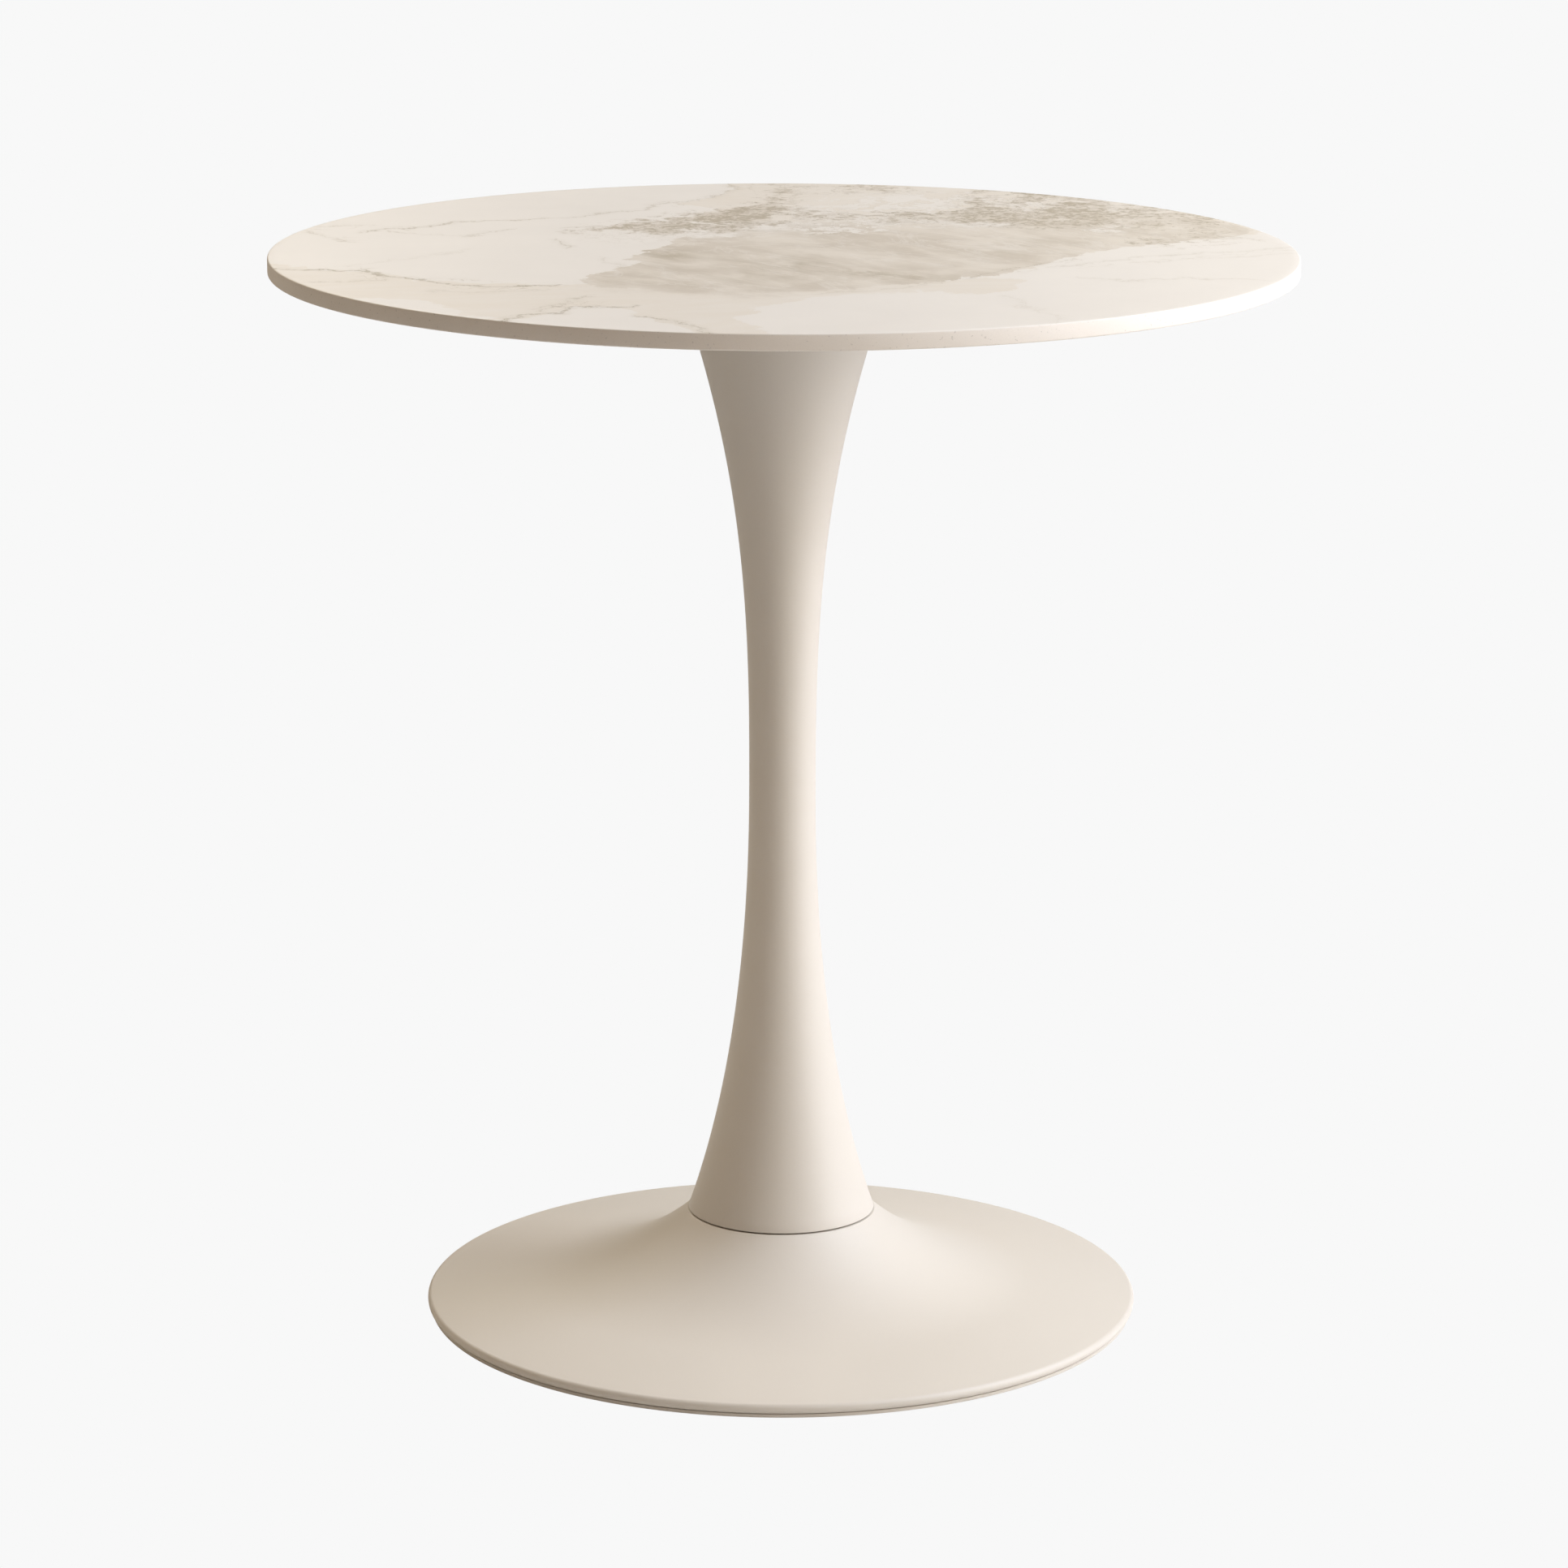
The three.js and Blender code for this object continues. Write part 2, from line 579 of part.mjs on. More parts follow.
function baseHub() {
  const [tube, flange] = [HUB_TUBE_DIAMETER / 2, HUB_FLANGE_DIAMETER / 2];
  const [inside, rodHole] = [hubInside / 2, ROD_DIAMETER / 2 + PASS];
  const body = revolve([
    [inside, hubBottom], [flange, hubBottom], [flange, hubBottom + HUB_FLANGE_THICKNESS],
    [tube, hubBottom + HUB_FLANGE_THICKNESS], [tube, hubTop - HUB_TOP_THICKNESS],
    [hubTopRadius, hubTop - HUB_TOP_THICKNESS], [hubTopRadius, hubTop],
    [spigotDiameter / 2, hubTop], [spigotDiameter / 2, spigotTop], [rodHole, spigotTop],
    [rodHole, hubTop - HUB_TOP_THICKNESS], [inside, hubTop - HUB_TOP_THICKNESS],
  ], TURN_MEDIUM);
  const passing = bar(M8_HEX.thread + 2 * PASS, hubBottom - OVERSHOOT,
    hubBottom + HUB_FLANGE_THICKNESS + OVERSHOOT, TURN_SCREW);
  const drilled = cutAround(body, passing, hubBoltCircle, around(HUB_BOLT_COUNT));
  return cutAround(drilled, pinHole, pinCircle, [0]);
}

function ballastDisc() {
  const disc = ring(2 * ballastRadius, accessDiameter, ballastBottom, ballastTop,
    BALLAST_CHAMFER, TURN_COVER);
  const tappedHole = (thread) => bar(
    thread, ballastBottom - OVERSHOOT, ballastTop + OVERSHOOT, TURN_SCREW);
  const forHub = cutAround(disc, tappedHole(M8_HEX.thread), hubBoltCircle, around(HUB_BOLT_COUNT));
  const forGlides = cutAround(forHub, tappedHole(M8.thread), edgeCircle, glideAngles);
  return cutAround(forGlides, tappedHole(M5.thread), edgeCircle, plateScrewAngles);
}

function basePlate() {
  const disc = ring(BASE_DIAMETER - 2 * PLATE_INSET, accessDiameter, plateBottom, plateTop, 0,
    TURN_COVER);
  const recess = bar(GLIDE_PAD_DIAMETER + 2 * GLIDE_RECESS_GAP, plateBottom - OVERSHOOT,
    plateTop + OVERSHOOT, TURN_SMALL);
  const sunk = flatScrewHole(M5, PLATE_THICKNESS).translate([0, 0, plateBottom]);
  return cutAround(cutAround(disc, recess, edgeCircle, glideAngles), sunk, edgeCircle, plateScrewAngles);
}

add('base_cover', baseCover(), POWDER_COAT);
add('base_hub', baseHub(), STEEL);
addAround('hub_bolt',
  hexBolt(M8_HEX, hubBottom + HUB_FLANGE_THICKNESS + SEAT, ballastBottom + HUB_BOLT_SETBACK),
  ZINC, hubBoltCircle, around(HUB_BOLT_COUNT));
addAt('locating_pin', bar(PIN_DIAMETER, pinBottom, pinBottom + PIN_LENGTH, TURN_SCREW), STEEL,
  pinCircle, 0);
add('ballast_disc', ballastDisc(), BALLAST_IRON);
add('base_plate', basePlate(), POWDER_COAT);
addAround('plate_screw',
  flatScrew(M5, ballastTop - plateBottom - PLATE_SCREW_SETBACK).translate([0, 0, plateBottom]),
  ZINC, edgeCircle, plateScrewAngles);

// ---------------------------------------------------------------- levelling glides

// The pad snaps over the stud's head and stays still on the floor while the stud is turned.
function glidePad() {
  const [outer, key] = [GLIDE_PAD_DIAMETER / 2, GLIDE_KEY_DIAMETER / 2];
  const pocket = GLIDE_HEAD_DIAMETER / 2 + SLIP;
  const pocketTop = GLIDE_PAD_FLOOR + GLIDE_HEAD_THICKNESS + 2 * SEAT;
  const mouth = M8.thread / 2 + PASS;
  const chamfer = GLIDE_PAD_CHAMFER;
  return revolve([
    [key, 0], [outer - chamfer, 0], [outer, chamfer], [outer, padHeight - chamfer],
    [outer - chamfer, padHeight], [mouth, padHeight], [mouth, pocketTop],
    [pocket, pocketTop], [pocket, GLIDE_PAD_FLOOR], [key, GLIDE_PAD_FLOOR],
  ], TURN_SMALL);
}

function glideStud() {
  const [head, shank] = [GLIDE_HEAD_DIAMETER / 2, M8.thread / 2 - SLIP];
  const bottom = GLIDE_PAD_FLOOR + SEAT;
  const shoulder = bottom + GLIDE_HEAD_THICKNESS;
  const tip = coverUndersideAt(edgeCircle / 2 + shank) - GLIDE_STUD_HEADROOM;
  const body = revolve([
    [0, bottom], [head, bottom], [head, shoulder], [shank, shoulder],
    [shank, tip - STUD_TIP_CHAMFER], [shank - STUD_TIP_CHAMFER, tip], [0, tip],
  ], TURN_SCREW);
  return body.subtract(hexBar(M8.socket, bottom - OVERSHOOT, bottom + GLIDE_SOCKET_DEPTH));
}

addAround('glide_pad', glidePad(), NYLON, edgeCircle, glideAngles);
addAround('glide_stud', glideStud(), ZINC, edgeCircle, glideAngles);

export default model;
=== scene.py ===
"""Round pedestal table: the finished surfaces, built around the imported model.

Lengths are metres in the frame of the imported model: +Z up, with the origin on the floor under
the middle of the table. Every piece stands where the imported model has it.
"""

import logging
import math
from dataclasses import dataclass
from enum import Enum

import bmesh
import bpy
from mathutils import Matrix, Vector


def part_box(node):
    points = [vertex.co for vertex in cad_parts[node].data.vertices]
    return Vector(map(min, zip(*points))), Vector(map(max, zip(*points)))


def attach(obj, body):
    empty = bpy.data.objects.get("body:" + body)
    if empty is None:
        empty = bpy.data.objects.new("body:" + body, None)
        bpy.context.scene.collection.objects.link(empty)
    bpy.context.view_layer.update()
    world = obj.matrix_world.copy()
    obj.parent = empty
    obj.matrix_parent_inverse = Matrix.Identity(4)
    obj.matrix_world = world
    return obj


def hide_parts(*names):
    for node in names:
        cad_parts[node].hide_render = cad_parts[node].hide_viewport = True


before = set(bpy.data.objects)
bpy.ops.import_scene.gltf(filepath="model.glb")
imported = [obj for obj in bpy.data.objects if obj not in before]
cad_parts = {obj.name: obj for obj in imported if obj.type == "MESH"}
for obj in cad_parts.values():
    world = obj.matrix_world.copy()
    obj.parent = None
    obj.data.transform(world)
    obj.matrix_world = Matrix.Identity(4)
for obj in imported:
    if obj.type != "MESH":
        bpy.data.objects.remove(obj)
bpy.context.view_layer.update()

log = logging.getLogger("pedestal_table")

MM = 0.001
TABLE = "table"
Point = tuple[float, float]
Colour = tuple[float, float, float]


class Slot(Enum):
    """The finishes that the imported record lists."""

    STONE = "stone"
    POWDER_COAT = "powder_coat"
    BLACK_COAT = "black_coat"
    BALLAST_IRON = "ballast_iron"
    STEEL = "steel"
    ZINC_STEEL = "zinc_steel"
    BRASS = "brass"
    RUBBER = "rubber"
    NYLON = "nylon"


def linear(colour: str) -> Colour:
    """Turn a hex colour as a paint chart gives it into scene-linear light.

    Args:
        colour: Six hex digits.

    Returns:
        Red, green and blue from 0 to 1.
    """
    shares = [int(colour[i:i + 2], 16) / 255 for i in (0, 2, 4)]
    red, green, blue = (s / 12.92 if s <= 0.04045 else ((s + 0.055) / 1.055) ** 2.4 for s in shares)
    return red, green, blue


def shade(colour: Colour, share: float) -> Colour:
    """Return the colour with a share of its brightness."""
    return colour[0] * share, colour[1] * share, colour[2] * share


# ------------------------------------------------------------------ shader maths


class Value:
    """A number socket of a shader that takes part in Python expressions."""

    def __init__(self, shader: "Shader", socket: bpy.types.NodeSocket) -> None:
        """Keep the socket and the shader that its nodes go into."""
        self.shader = shader
        self.socket = socket

    def _math(self, operation: str, *terms: "Value | float") -> "Value":
        """Add a Math node.

        Args:
            operation: The node's operation.
            terms: Its inputs, in order.

        Returns:
            The node's result.
        """
        inputs = dict(enumerate(terms))
        node = self.shader.node("ShaderNodeMath", {"operation": operation}, inputs)
        return Value(self.shader, node.outputs[0])

    def __add__(self, other: "Value | float") -> "Value":
        """Return self + other."""
        return self._math("ADD", self, other)

    def __radd__(self, other: float) -> "Value":
        """Return other + self."""
        return self._math("ADD", other, self)

    def __sub__(self, other: "Value | float") -> "Value":
        """Return self - other."""
        return self._math("SUBTRACT", self, other)

    def __rsub__(self, other: float) -> "Value":
        """Return other - self."""
        return self._math("SUBTRACT", other, self)

    def __mul__(self, other: "Value | float") -> "Value":
        """Return self * other."""
        return self._math("MULTIPLY", self, other)

    def __rmul__(self, other: float) -> "Value":
        """Return other * self."""
        return self._math("MULTIPLY", other, self)

    def __truediv__(self, other: "Value | float") -> "Value":
        """Return self / other."""
        return self._math("DIVIDE", self, other)

    def __rtruediv__(self, other: float) -> "Value":
        """Return other / self."""
        return self._math("DIVIDE", other, self)

    def size(self) -> "Value":
        """Return the number without its sign."""
        return self._math("ABSOLUTE", self)

    def step(self, low: float, high: float) -> "Value":
        """Rise smoothly from 0 at low to 1 at high.

        Args:
            low: Where the rise starts.
            high: Where it ends.

        Returns:
            The eased share.
        """
        settings = {"interpolation_type": "SMOOTHSTEP"}
        inputs = {"Value": self, "From Min": low, "From Max": high}
        node = self.shader.node("ShaderNodeMapRange", settings, inputs)
        return Value(self.shader, node.outputs["Result"])

    def fall(self, low: float, high: float) -> "Value":
        """Fall smoothly from 1 at low to 0 at high."""
        return 1 - self.step(low, high)


class Nodes:
    """The nodes of a material or of the surround."""

    def __init__(self, tree: bpy.types.NodeTree) -> None:
        """Empty the tree that the nodes go into."""
        self.tree = tree
        self.tree.nodes.clear()

    def node(self, kind: str, settings: dict | None = None,
             inputs: dict | None = None) -> bpy.types.Node:
        """Add a node.

        Args:
            kind: The node's type.
            settings: Its own options, which are set first.
            inputs: A number, colour, socket or Value for each named or numbered input.

        Returns:
            The new node.
        """
        made = self.tree.nodes.new(kind)
        for name, value in (settings or {}).items():
            setattr(made, name, value)
        for name, value in (inputs or {}).items():
            self.feed(made.inputs[name], value)
        return made

    def feed(self, socket: bpy.types.NodeSocket, value: object) -> None:
        """Give an input its number, its colour or its link.

        Args:
            socket: The input.
            value: What it gets.
        """
        if isinstance(value, Value):
            value = value.socket
        if isinstance(value, bpy.types.NodeSocket):
            self.tree.links.new(value, socket)
        elif isinstance(value, tuple) and socket.type == "RGBA":
            socket.default_value = (*value, 1.0)
        else:
            socket.default_value = value

    def mix(self, first: object, second: object, share: object) -> bpy.types.NodeSocket:
        """Blend two colours.

        Args:
            first: The colour at share 0.
            second: The colour at share 1.
            share: How much of the second there is.

        Returns:
            The blended colour.
        """
        made = self.node("ShaderNodeMix", {"data_type": "RGBA"})
        share_socket, first_socket, second_socket = made.inputs[0], made.inputs[6], made.inputs[7]
        self.feed(share_socket, share)
        self.feed(first_socket, first)
        self.feed(second_socket, second)
        return made.outputs[2]


class Shader(Nodes):
    """One node material, built from the surface inwards."""

    def __init__(self, name: str) -> None:
        """Start a material with a Principled surface.

        Args:
            name: The material's name.
        """
        self.material = bpy.data.materials.new(name)
        self.material.use_nodes = True
        super().__init__(self.material.node_tree)
        self.surface = self.node("ShaderNodeBsdfPrincipled")
        inputs = {"Surface": self.surface.outputs["BSDF"]}
        self.output = self.node("ShaderNodeOutputMaterial", {}, inputs)
        self.place = self.node("ShaderNodeTexCoord").outputs["Object"]

    def noise(self, scale: float, detail: float = 2.0, roughness: float = 0.5,
              distortion: float = 0.0, place: bpy.types.NodeSocket | None = None) -> Value:
        """Add a noise.

        Args:
            scale: Patches to a metre.
            detail: How many finer layers it has.
            roughness: How strong the finer layers are.
            distortion: How much it swirls.
            place: The coordinates, or None for the piece's own.

        Returns:
            The noise, about 0.5 on average.
        """
        inputs = {"Vector": place or self.place, "Scale": scale, "Detail": detail,
                  "Roughness": roughness, "Distortion": distortion}
        return Value(self, self.node("ShaderNodeTexNoise", {}, inputs).outputs["Fac"])

    def stretched(self, angle: float, lengths: tuple[float, float, float]) -> bpy.types.NodeSocket:
        """Stretch the coordinates, so that a noise becomes streaks.

        Args:
            angle: The direction of the first length, in degrees about +Z.
            lengths: How many times longer the noise gets along each turned axis.

        Returns:
            The new coordinates.
        """
        settings = {"vector_type": "TEXTURE"}
        inputs = {"Vector": self.place, "Rotation": (0, 0, math.radians(angle)), "Scale": lengths}
        return self.node("ShaderNodeMapping", settings, inputs).outputs["Vector"]

    def field(self, name: str) -> Value:
        """Return a number that the piece's mesh carries at its corners."""
        return Value(self, self.node("ShaderNodeAttribute", {"attribute_name": name}).outputs["Fac"])

    def relief(self, height: Value, depth: float) -> None:
        """Roughen the surface.

        Args:
            height: The relief, from 0 to 1.
            depth: What 1 is worth, in metres.
        """
        inputs = {"Strength": 1.0, "Distance": depth, "Height": height}
        bump = self.node("ShaderNodeBump", {}, inputs)
        self.feed(self.surface.inputs["Normal"], bump.outputs["Normal"])

    def finish(self, **sockets: object) -> bpy.types.Material:
        """Set the surface's sockets and return the material.

        Args:
            sockets: What each socket gets, with _ for a space in its name.

        Returns:
            The finished material.
        """
        for name, value in sockets.items():
            self.feed(self.surface.inputs[name.replace("_", " ")], value)
        return self.material


# ------------------------------------------------------------------ finishes


@dataclass(frozen=True)
class PowderCoat:
    """A fine satin powder coat: a soft even colour over a grain that is only just felt."""

    name: str
    colour: Colour
    cloud_scale: float = 9
    grain_scale: float = 1500
    grain_share: float = 0.65
    grain_depth: float = 0.02 * MM
    contrast: float = 0.045
    roughness: float = 0.5
    unevenness: float = 0.06

    def material(self) -> bpy.types.Material:
        """Build the finish.

        Returns:
            The material.
        """
        shader = Shader(self.name)
        cloud = shader.noise(self.cloud_scale, detail=3)
        grain = shader.noise(self.grain_scale, detail=2, roughness=0.6)
        tone = (1 - self.grain_share) * cloud + self.grain_share * grain
        darker, lighter = shade(self.colour, 1 - self.contrast), shade(self.colour, 1 + self.contrast)
        colour = shader.mix(darker, lighter, tone)
        shader.relief(grain, self.grain_depth)
        roughness = self.roughness - self.unevenness + 2 * self.unevenness * grain
        return shader.finish(Base_Color=colour, Roughness=roughness, Metallic=0.0)


@dataclass(frozen=True)
class Casting:
    """Cast iron under a thin primer, with its pits and lighter worn spots."""

    name: str
    colour: Colour
    skin_scale: float = 260
    patch_scale: float = 22
    pit_depth: float = 0.5 * MM
    roughness: float = 0.62
    metallic: float = 0.35

    def material(self) -> bpy.types.Material:
        """Build the finish.

        Returns:
            The material.
        """
        shader = Shader(self.name)
        skin = shader.noise(self.skin_scale, detail=6, roughness=0.65)
        patches = shader.noise(self.patch_scale, detail=4)
        pitted, worn = shade(self.colour, 0.7), shade(self.colour, 1.5)
        colour = shader.mix(pitted, worn, 0.5 * skin + 0.5 * patches)
        shader.relief(skin, self.pit_depth)
        roughness = self.roughness + 0.3 * skin
        return shader.finish(Base_Color=colour, Roughness=roughness, Metallic=self.metallic)


@dataclass(frozen=True)
class Metal:
    """Bare or plated metal with the fine rings or streaks that its making leaves."""

    name: str
    colour: Colour
    roughness: float
    streaks: float
    tint: Colour
    ring_stretch: float = 14
    stain_scale: float = 35
    ring_depth: float = 0.03 * MM

    def material(self) -> bpy.types.Material:
        """Build the finish.

        Returns:
            The material.
        """
        shader = Shader(self.name)
        rings = shader.stretched(0, (self.ring_stretch, self.ring_stretch, 1))
        streak = shader.noise(self.streaks * self.ring_stretch, detail=4, roughness=0.6, place=rings)
        stain = shader.noise(self.stain_scale, detail=3)
        base = shader.mix(shade(self.colour, 0.86), shade(self.colour, 1.08), streak)
        colour = shader.mix(base, self.tint, 0.3 * stain.step(0.45, 0.8))
        roughness = self.roughness - 0.07 + 0.16 * streak
        shader.relief(streak, self.ring_depth)
        return shader.finish(Base_Color=colour, Roughness=roughness, Metallic=1.0)


@dataclass(frozen=True)
class Moulded:
    """Rubber or nylon: dark, a little uneven, with a fine moulded grain."""

    name: str
    colour: Colour
    roughness: float
    grain_scale: float = 2200
    grain_depth: float = 0.04 * MM
    dust_scale: float = 70

    def material(self) -> bpy.types.Material:
        """Build the finish.

        Returns:
            The material.
        """
        shader = Shader(self.name)
        grain = shader.noise(self.grain_scale, detail=2)
        dust = shader.noise(self.dust_scale, detail=3).step(0.5, 0.85)
        colour = shader.mix(self.colour, shade(self.colour, 2.2), 0.35 * grain + 0.3 * dust)
        shader.relief(grain, self.grain_depth)
        return shader.finish(Base_Color=colour, Roughness=self.roughness + 0.1 * dust, Metallic=0.0)


@dataclass(frozen=True)
class StoneFace:
    """The honed face of the top: pale ground, a grey-beige cloud, a veil, broken stone and veins."""

    name: str
    ground: Colour
    cloud_light: Colour
    cloud_dark: Colour
    umber: Colour
    roughness: float = 0.42
    grain_scale: float = 2400
    grain_depth: float = 0.012 * MM
    wander: float = 55 * MM
    fine_wander: float = 14 * MM
    vein_stain: float = 9 * MM

    def material(self) -> bpy.types.Material:
        """Build the finish.

        Returns:
            The material.
        """
        shader = Shader(self.name)
        waver = self.wander * (shader.noise(24, detail=8, roughness=0.64) - 0.5)
        waver += self.fine_wander * (shader.noise(150, detail=4, roughness=0.7) - 0.5)
        ground = self.ground_colour(shader)
        veiled = self.veil_over(shader, ground, waver)
        clouded = self.cloud_over(shader, veiled, waver)
        broken = self.broken_stone_over(shader, clouded)
        veined = self.veins_over(shader, broken, waver)
        grain = shader.noise(self.grain_scale, detail=2)
        shader.relief(grain, self.grain_depth)
        roughness = self.roughness - 0.03 + 0.06 * grain
        return shader.finish(Base_Color=veined, Roughness=roughness, Metallic=0.0)

    def ground_colour(self, shader: Shader) -> bpy.types.NodeSocket:
        """Mix the pale ground, very slightly mottled."""
        mottle = shader.noise(12, detail=5, roughness=0.6)
        return shader.mix(shade(self.ground, 0.955), shade(self.ground, 1.04), mottle)

    def veil_over(self, shader: Shader, below: bpy.types.NodeSocket,
                  waver: Value) -> bpy.types.NodeSocket:
        """Lay the thin veil over a colour.

        Args:
            shader: The material.
            below: The colour underneath.
            waver: How far each place's edges wander, in metres.

        Returns:
            The colour with the veil.
        """
        inside = shader.field("veil") + waver
        lay = shader.stretched(12, (3.0, 1.0, 1.0))
        layers = shader.noise(34, detail=7, roughness=0.64, distortion=0.5, place=lay)
        strength = inside.step(-0.6 * MM, 1.6 * MM) * (0.3 + 1.5 * (layers - 0.22))
        return shader.mix(below, shade(self.cloud_light, 1.03), strength)

    def cloud_over(self, shader: Shader, below: bpy.types.NodeSocket,
                   waver: Value) -> bpy.types.NodeSocket:
        """Lay the large cloud over a colour.

        Args:
            shader: The material.
            below: The colour underneath.
            waver: How far each place's edges wander, in metres.

        Returns:
            The colour with the cloud.
        """
        depth = shader.field("cloud")
        crisp = (depth + waver).step(-0.5 * MM, 1.1 * MM)
        soft = (depth + 2.2 * waver).step(-30 * MM, 30 * MM)
        softness = shader.field("softness")
        strength = crisp * (1 - softness) + soft * softness
        lay = shader.stretched(-52, (2.6, 1.0, 1.0))
        streaks = shader.noise(30, detail=8, roughness=0.62, distortion=0.7, place=lay)
        billows = shader.noise(19, detail=7, roughness=0.62, distortion=0.6)
        tone = (0.5 * streaks + 0.5 * billows).step(0.38, 0.62)
        cloud = shader.mix(self.cloud_light, self.cloud_dark, tone)
        swirls = shader.noise(17, detail=6, roughness=0.6, distortion=1.2, place=lay)
        wisps = (swirls - 0.5).size().fall(0.0, 0.022)
        wisped = shader.mix(cloud, self.ground, 0.34 * wisps)
        stains = shader.noise(48, detail=6, roughness=0.66, distortion=0.6, place=lay)
        brown = shader.field("umber") * stains.step(0.4, 0.62)
        return shader.mix(below, shader.mix(wisped, self.umber, 0.75 * brown), strength)

    def broken_stone_over(self, shader: Shader, below: bpy.types.NodeSocket) -> bpy.types.NodeSocket:
        """Scatter dark chips and pale crystals where the stone is broken.

        Args:
            shader: The material.
            below: The colour underneath.

        Returns:
            The colour with the broken stone.
        """
        density = shader.field("breccia")
        pale = shader.field("crystals")
        lumps = shader.noise(46, detail=6, roughness=0.68, distortion=0.6)
        grit = shader.noise(160, detail=6, roughness=0.74, distortion=0.4)
        crystals = 0.65 * lumps + 0.35 * shader.noise(84, detail=5, roughness=0.7) + 0.1 * pale
        light = crystals.step(0.55, 0.575) * pale.step(0.05, 0.4)
        whitened = shader.mix(below, self.ground, 0.9 * light)
        stain = (lumps + 0.2 * density).step(0.54, 0.66) * density.step(0.03, 0.4)
        stained = shader.mix(whitened, self.cloud_dark, 0.7 * stain)
        specks = (0.62 * grit + 0.38 * lumps + 0.07 * density).step(0.55, 0.6)
        chips = specks * density.step(0.03, 0.35)
        seams = (crystals - 0.555).size().fall(0.0, 0.009) * pale.step(0.1, 0.6)
        return shader.mix(shader.mix(stained, self.umber, 0.35 * seams), self.umber, 0.7 * chips)

    def veins_over(self, shader: Shader, below: bpy.types.NodeSocket,
                   waver: Value) -> bpy.types.NodeSocket:
        """Draw the veins: a thin dark line with a soft stain beside it.

        Args:
            shader: The material.
            below: The colour underneath.
            waver: How far each place's edges wander, in metres.

        Returns:
            The colour with the veins.
        """
        offset = (shader.field("vein_offset") + waver).size()
        strength = shader.field("vein_strength")
        ink = shader.noise(70, detail=5, roughness=0.7).step(0.3, 0.62)
        line = (offset / shader.field("vein_width")).fall(0.35, 1.25) * (0.35 + 0.65 * ink)
        stain = offset.fall(0.0, self.vein_stain) * ink
        return shader.mix(below, self.umber, strength * (0.72 * line + 0.24 * stain))


@dataclass(frozen=True)
class StoneEdge:
    """The cut edge and underside of the slab: plain fine-grained stone with small specks."""

    name: str
    colour: Colour
    grain_scale: float = 1300
    grain_depth: float = 0.04 * MM
    speck_scale: float = 520
    cloud_scale: float = 28
    roughness: float = 0.6

    def material(self) -> bpy.types.Material:
        """Build the finish.

        Returns:
            The material.
        """
        shader = Shader(self.name)
        grain = shader.noise(self.grain_scale, detail=3, roughness=0.65)
        speck = shader.noise(self.speck_scale, detail=2).step(0.66, 0.72)
        cloud = shader.noise(self.cloud_scale, detail=4)
        base = shader.mix(shade(self.colour, 0.9), shade(self.colour, 1.08), 0.6 * grain + 0.4 * cloud)
        colour = shader.mix(base, shade(self.colour, 0.62), 0.5 * speck)
        shader.relief(grain, self.grain_depth)
        return shader.finish(Base_Color=colour, Roughness=self.roughness + 0.1 * grain, Metallic=0.0)


BEIGE = linear("d4cdc4")
FINISHES = {
    Slot.STONE: StoneEdge("stone_edge", linear("e5ded7")),
    Slot.POWDER_COAT: PowderCoat("beige_powder_coat", BEIGE),
    Slot.BLACK_COAT: PowderCoat("black_powder_coat", linear("2a2928"), roughness=0.62),
    Slot.BALLAST_IRON: Casting("ballast_casting", linear("47433f")),
    Slot.STEEL: Metal("turned_steel", linear("a5a6a8"), 0.38, 420, linear("8c8377")),
    Slot.ZINC_STEEL: Metal("zinc_plate", linear("c9ccd0"), 0.3, 240, linear("b9b6a4")),
    Slot.BRASS: Metal("turned_brass", linear("cda75c"), 0.3, 380, linear("9a7338")),
    Slot.RUBBER: Moulded("black_rubber", linear("1f1e1d"), 0.8),
    Slot.NYLON: Moulded("black_nylon", linear("252525"), 0.55),
}
STONE_FACE = StoneFace(
    "stone_face",
    ground=linear("efe9e3"),
    cloud_light=linear("e5dcd1"),
    cloud_dark=linear("d1c6b9"),
    umber=linear("a99c86"),
)


class Dresser:
    """Holds one material for each finish and puts it on pieces."""

    def __init__(self) -> None:
        """Build every finish."""
        self.materials = {slot: finish.material() for slot, finish in FINISHES.items()}
        self.stone_face = STONE_FACE.material()

    def dress(self, piece: bpy.types.Object, slot: Slot) -> None:
        """Give a piece its finish.

        Args:
            piece: The piece.
            slot: Its finish.
        """
        piece.data.materials.clear()
        piece.data.materials.append(self.materials[slot])

    def add(self, solid: "Solid", name: str, node: str, slot: Slot, body: str = TABLE) -> None:
        """Turn a solid into the piece that stands for a node, and dress it.

        Args:
            solid: The finished solid.
            name: The piece's name.
            node: The node that it stands for.
            slot: Its finish.
            body: The body that it moves with.
        """
        self.dress(solid.piece(name, body, node, slot), slot)

    def dress_node(self, name: str, slot: Slot) -> None:
        """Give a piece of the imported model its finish."""
        self.dress(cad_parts[name], slot)


# ------------------------------------------------------------------ outlines and solids


def arc(centre: Point, radius: float, start: float, end: float, steps: int) -> list[Point]:
    """Return points on an arc in the radius-height plane.

    Args:
        centre: The arc's centre.
        radius: Its radius.
        start: Its first angle, in degrees from the outward direction.
        end: Its last angle.
        steps: How many straight steps it has.

    Returns:
        The points, both ends included.
    """
    angles = [math.radians(start + (end - start) * i / steps) for i in range(steps + 1)]
    return [(centre[0] + radius * math.cos(a), centre[1] + radius * math.sin(a)) for a in angles]


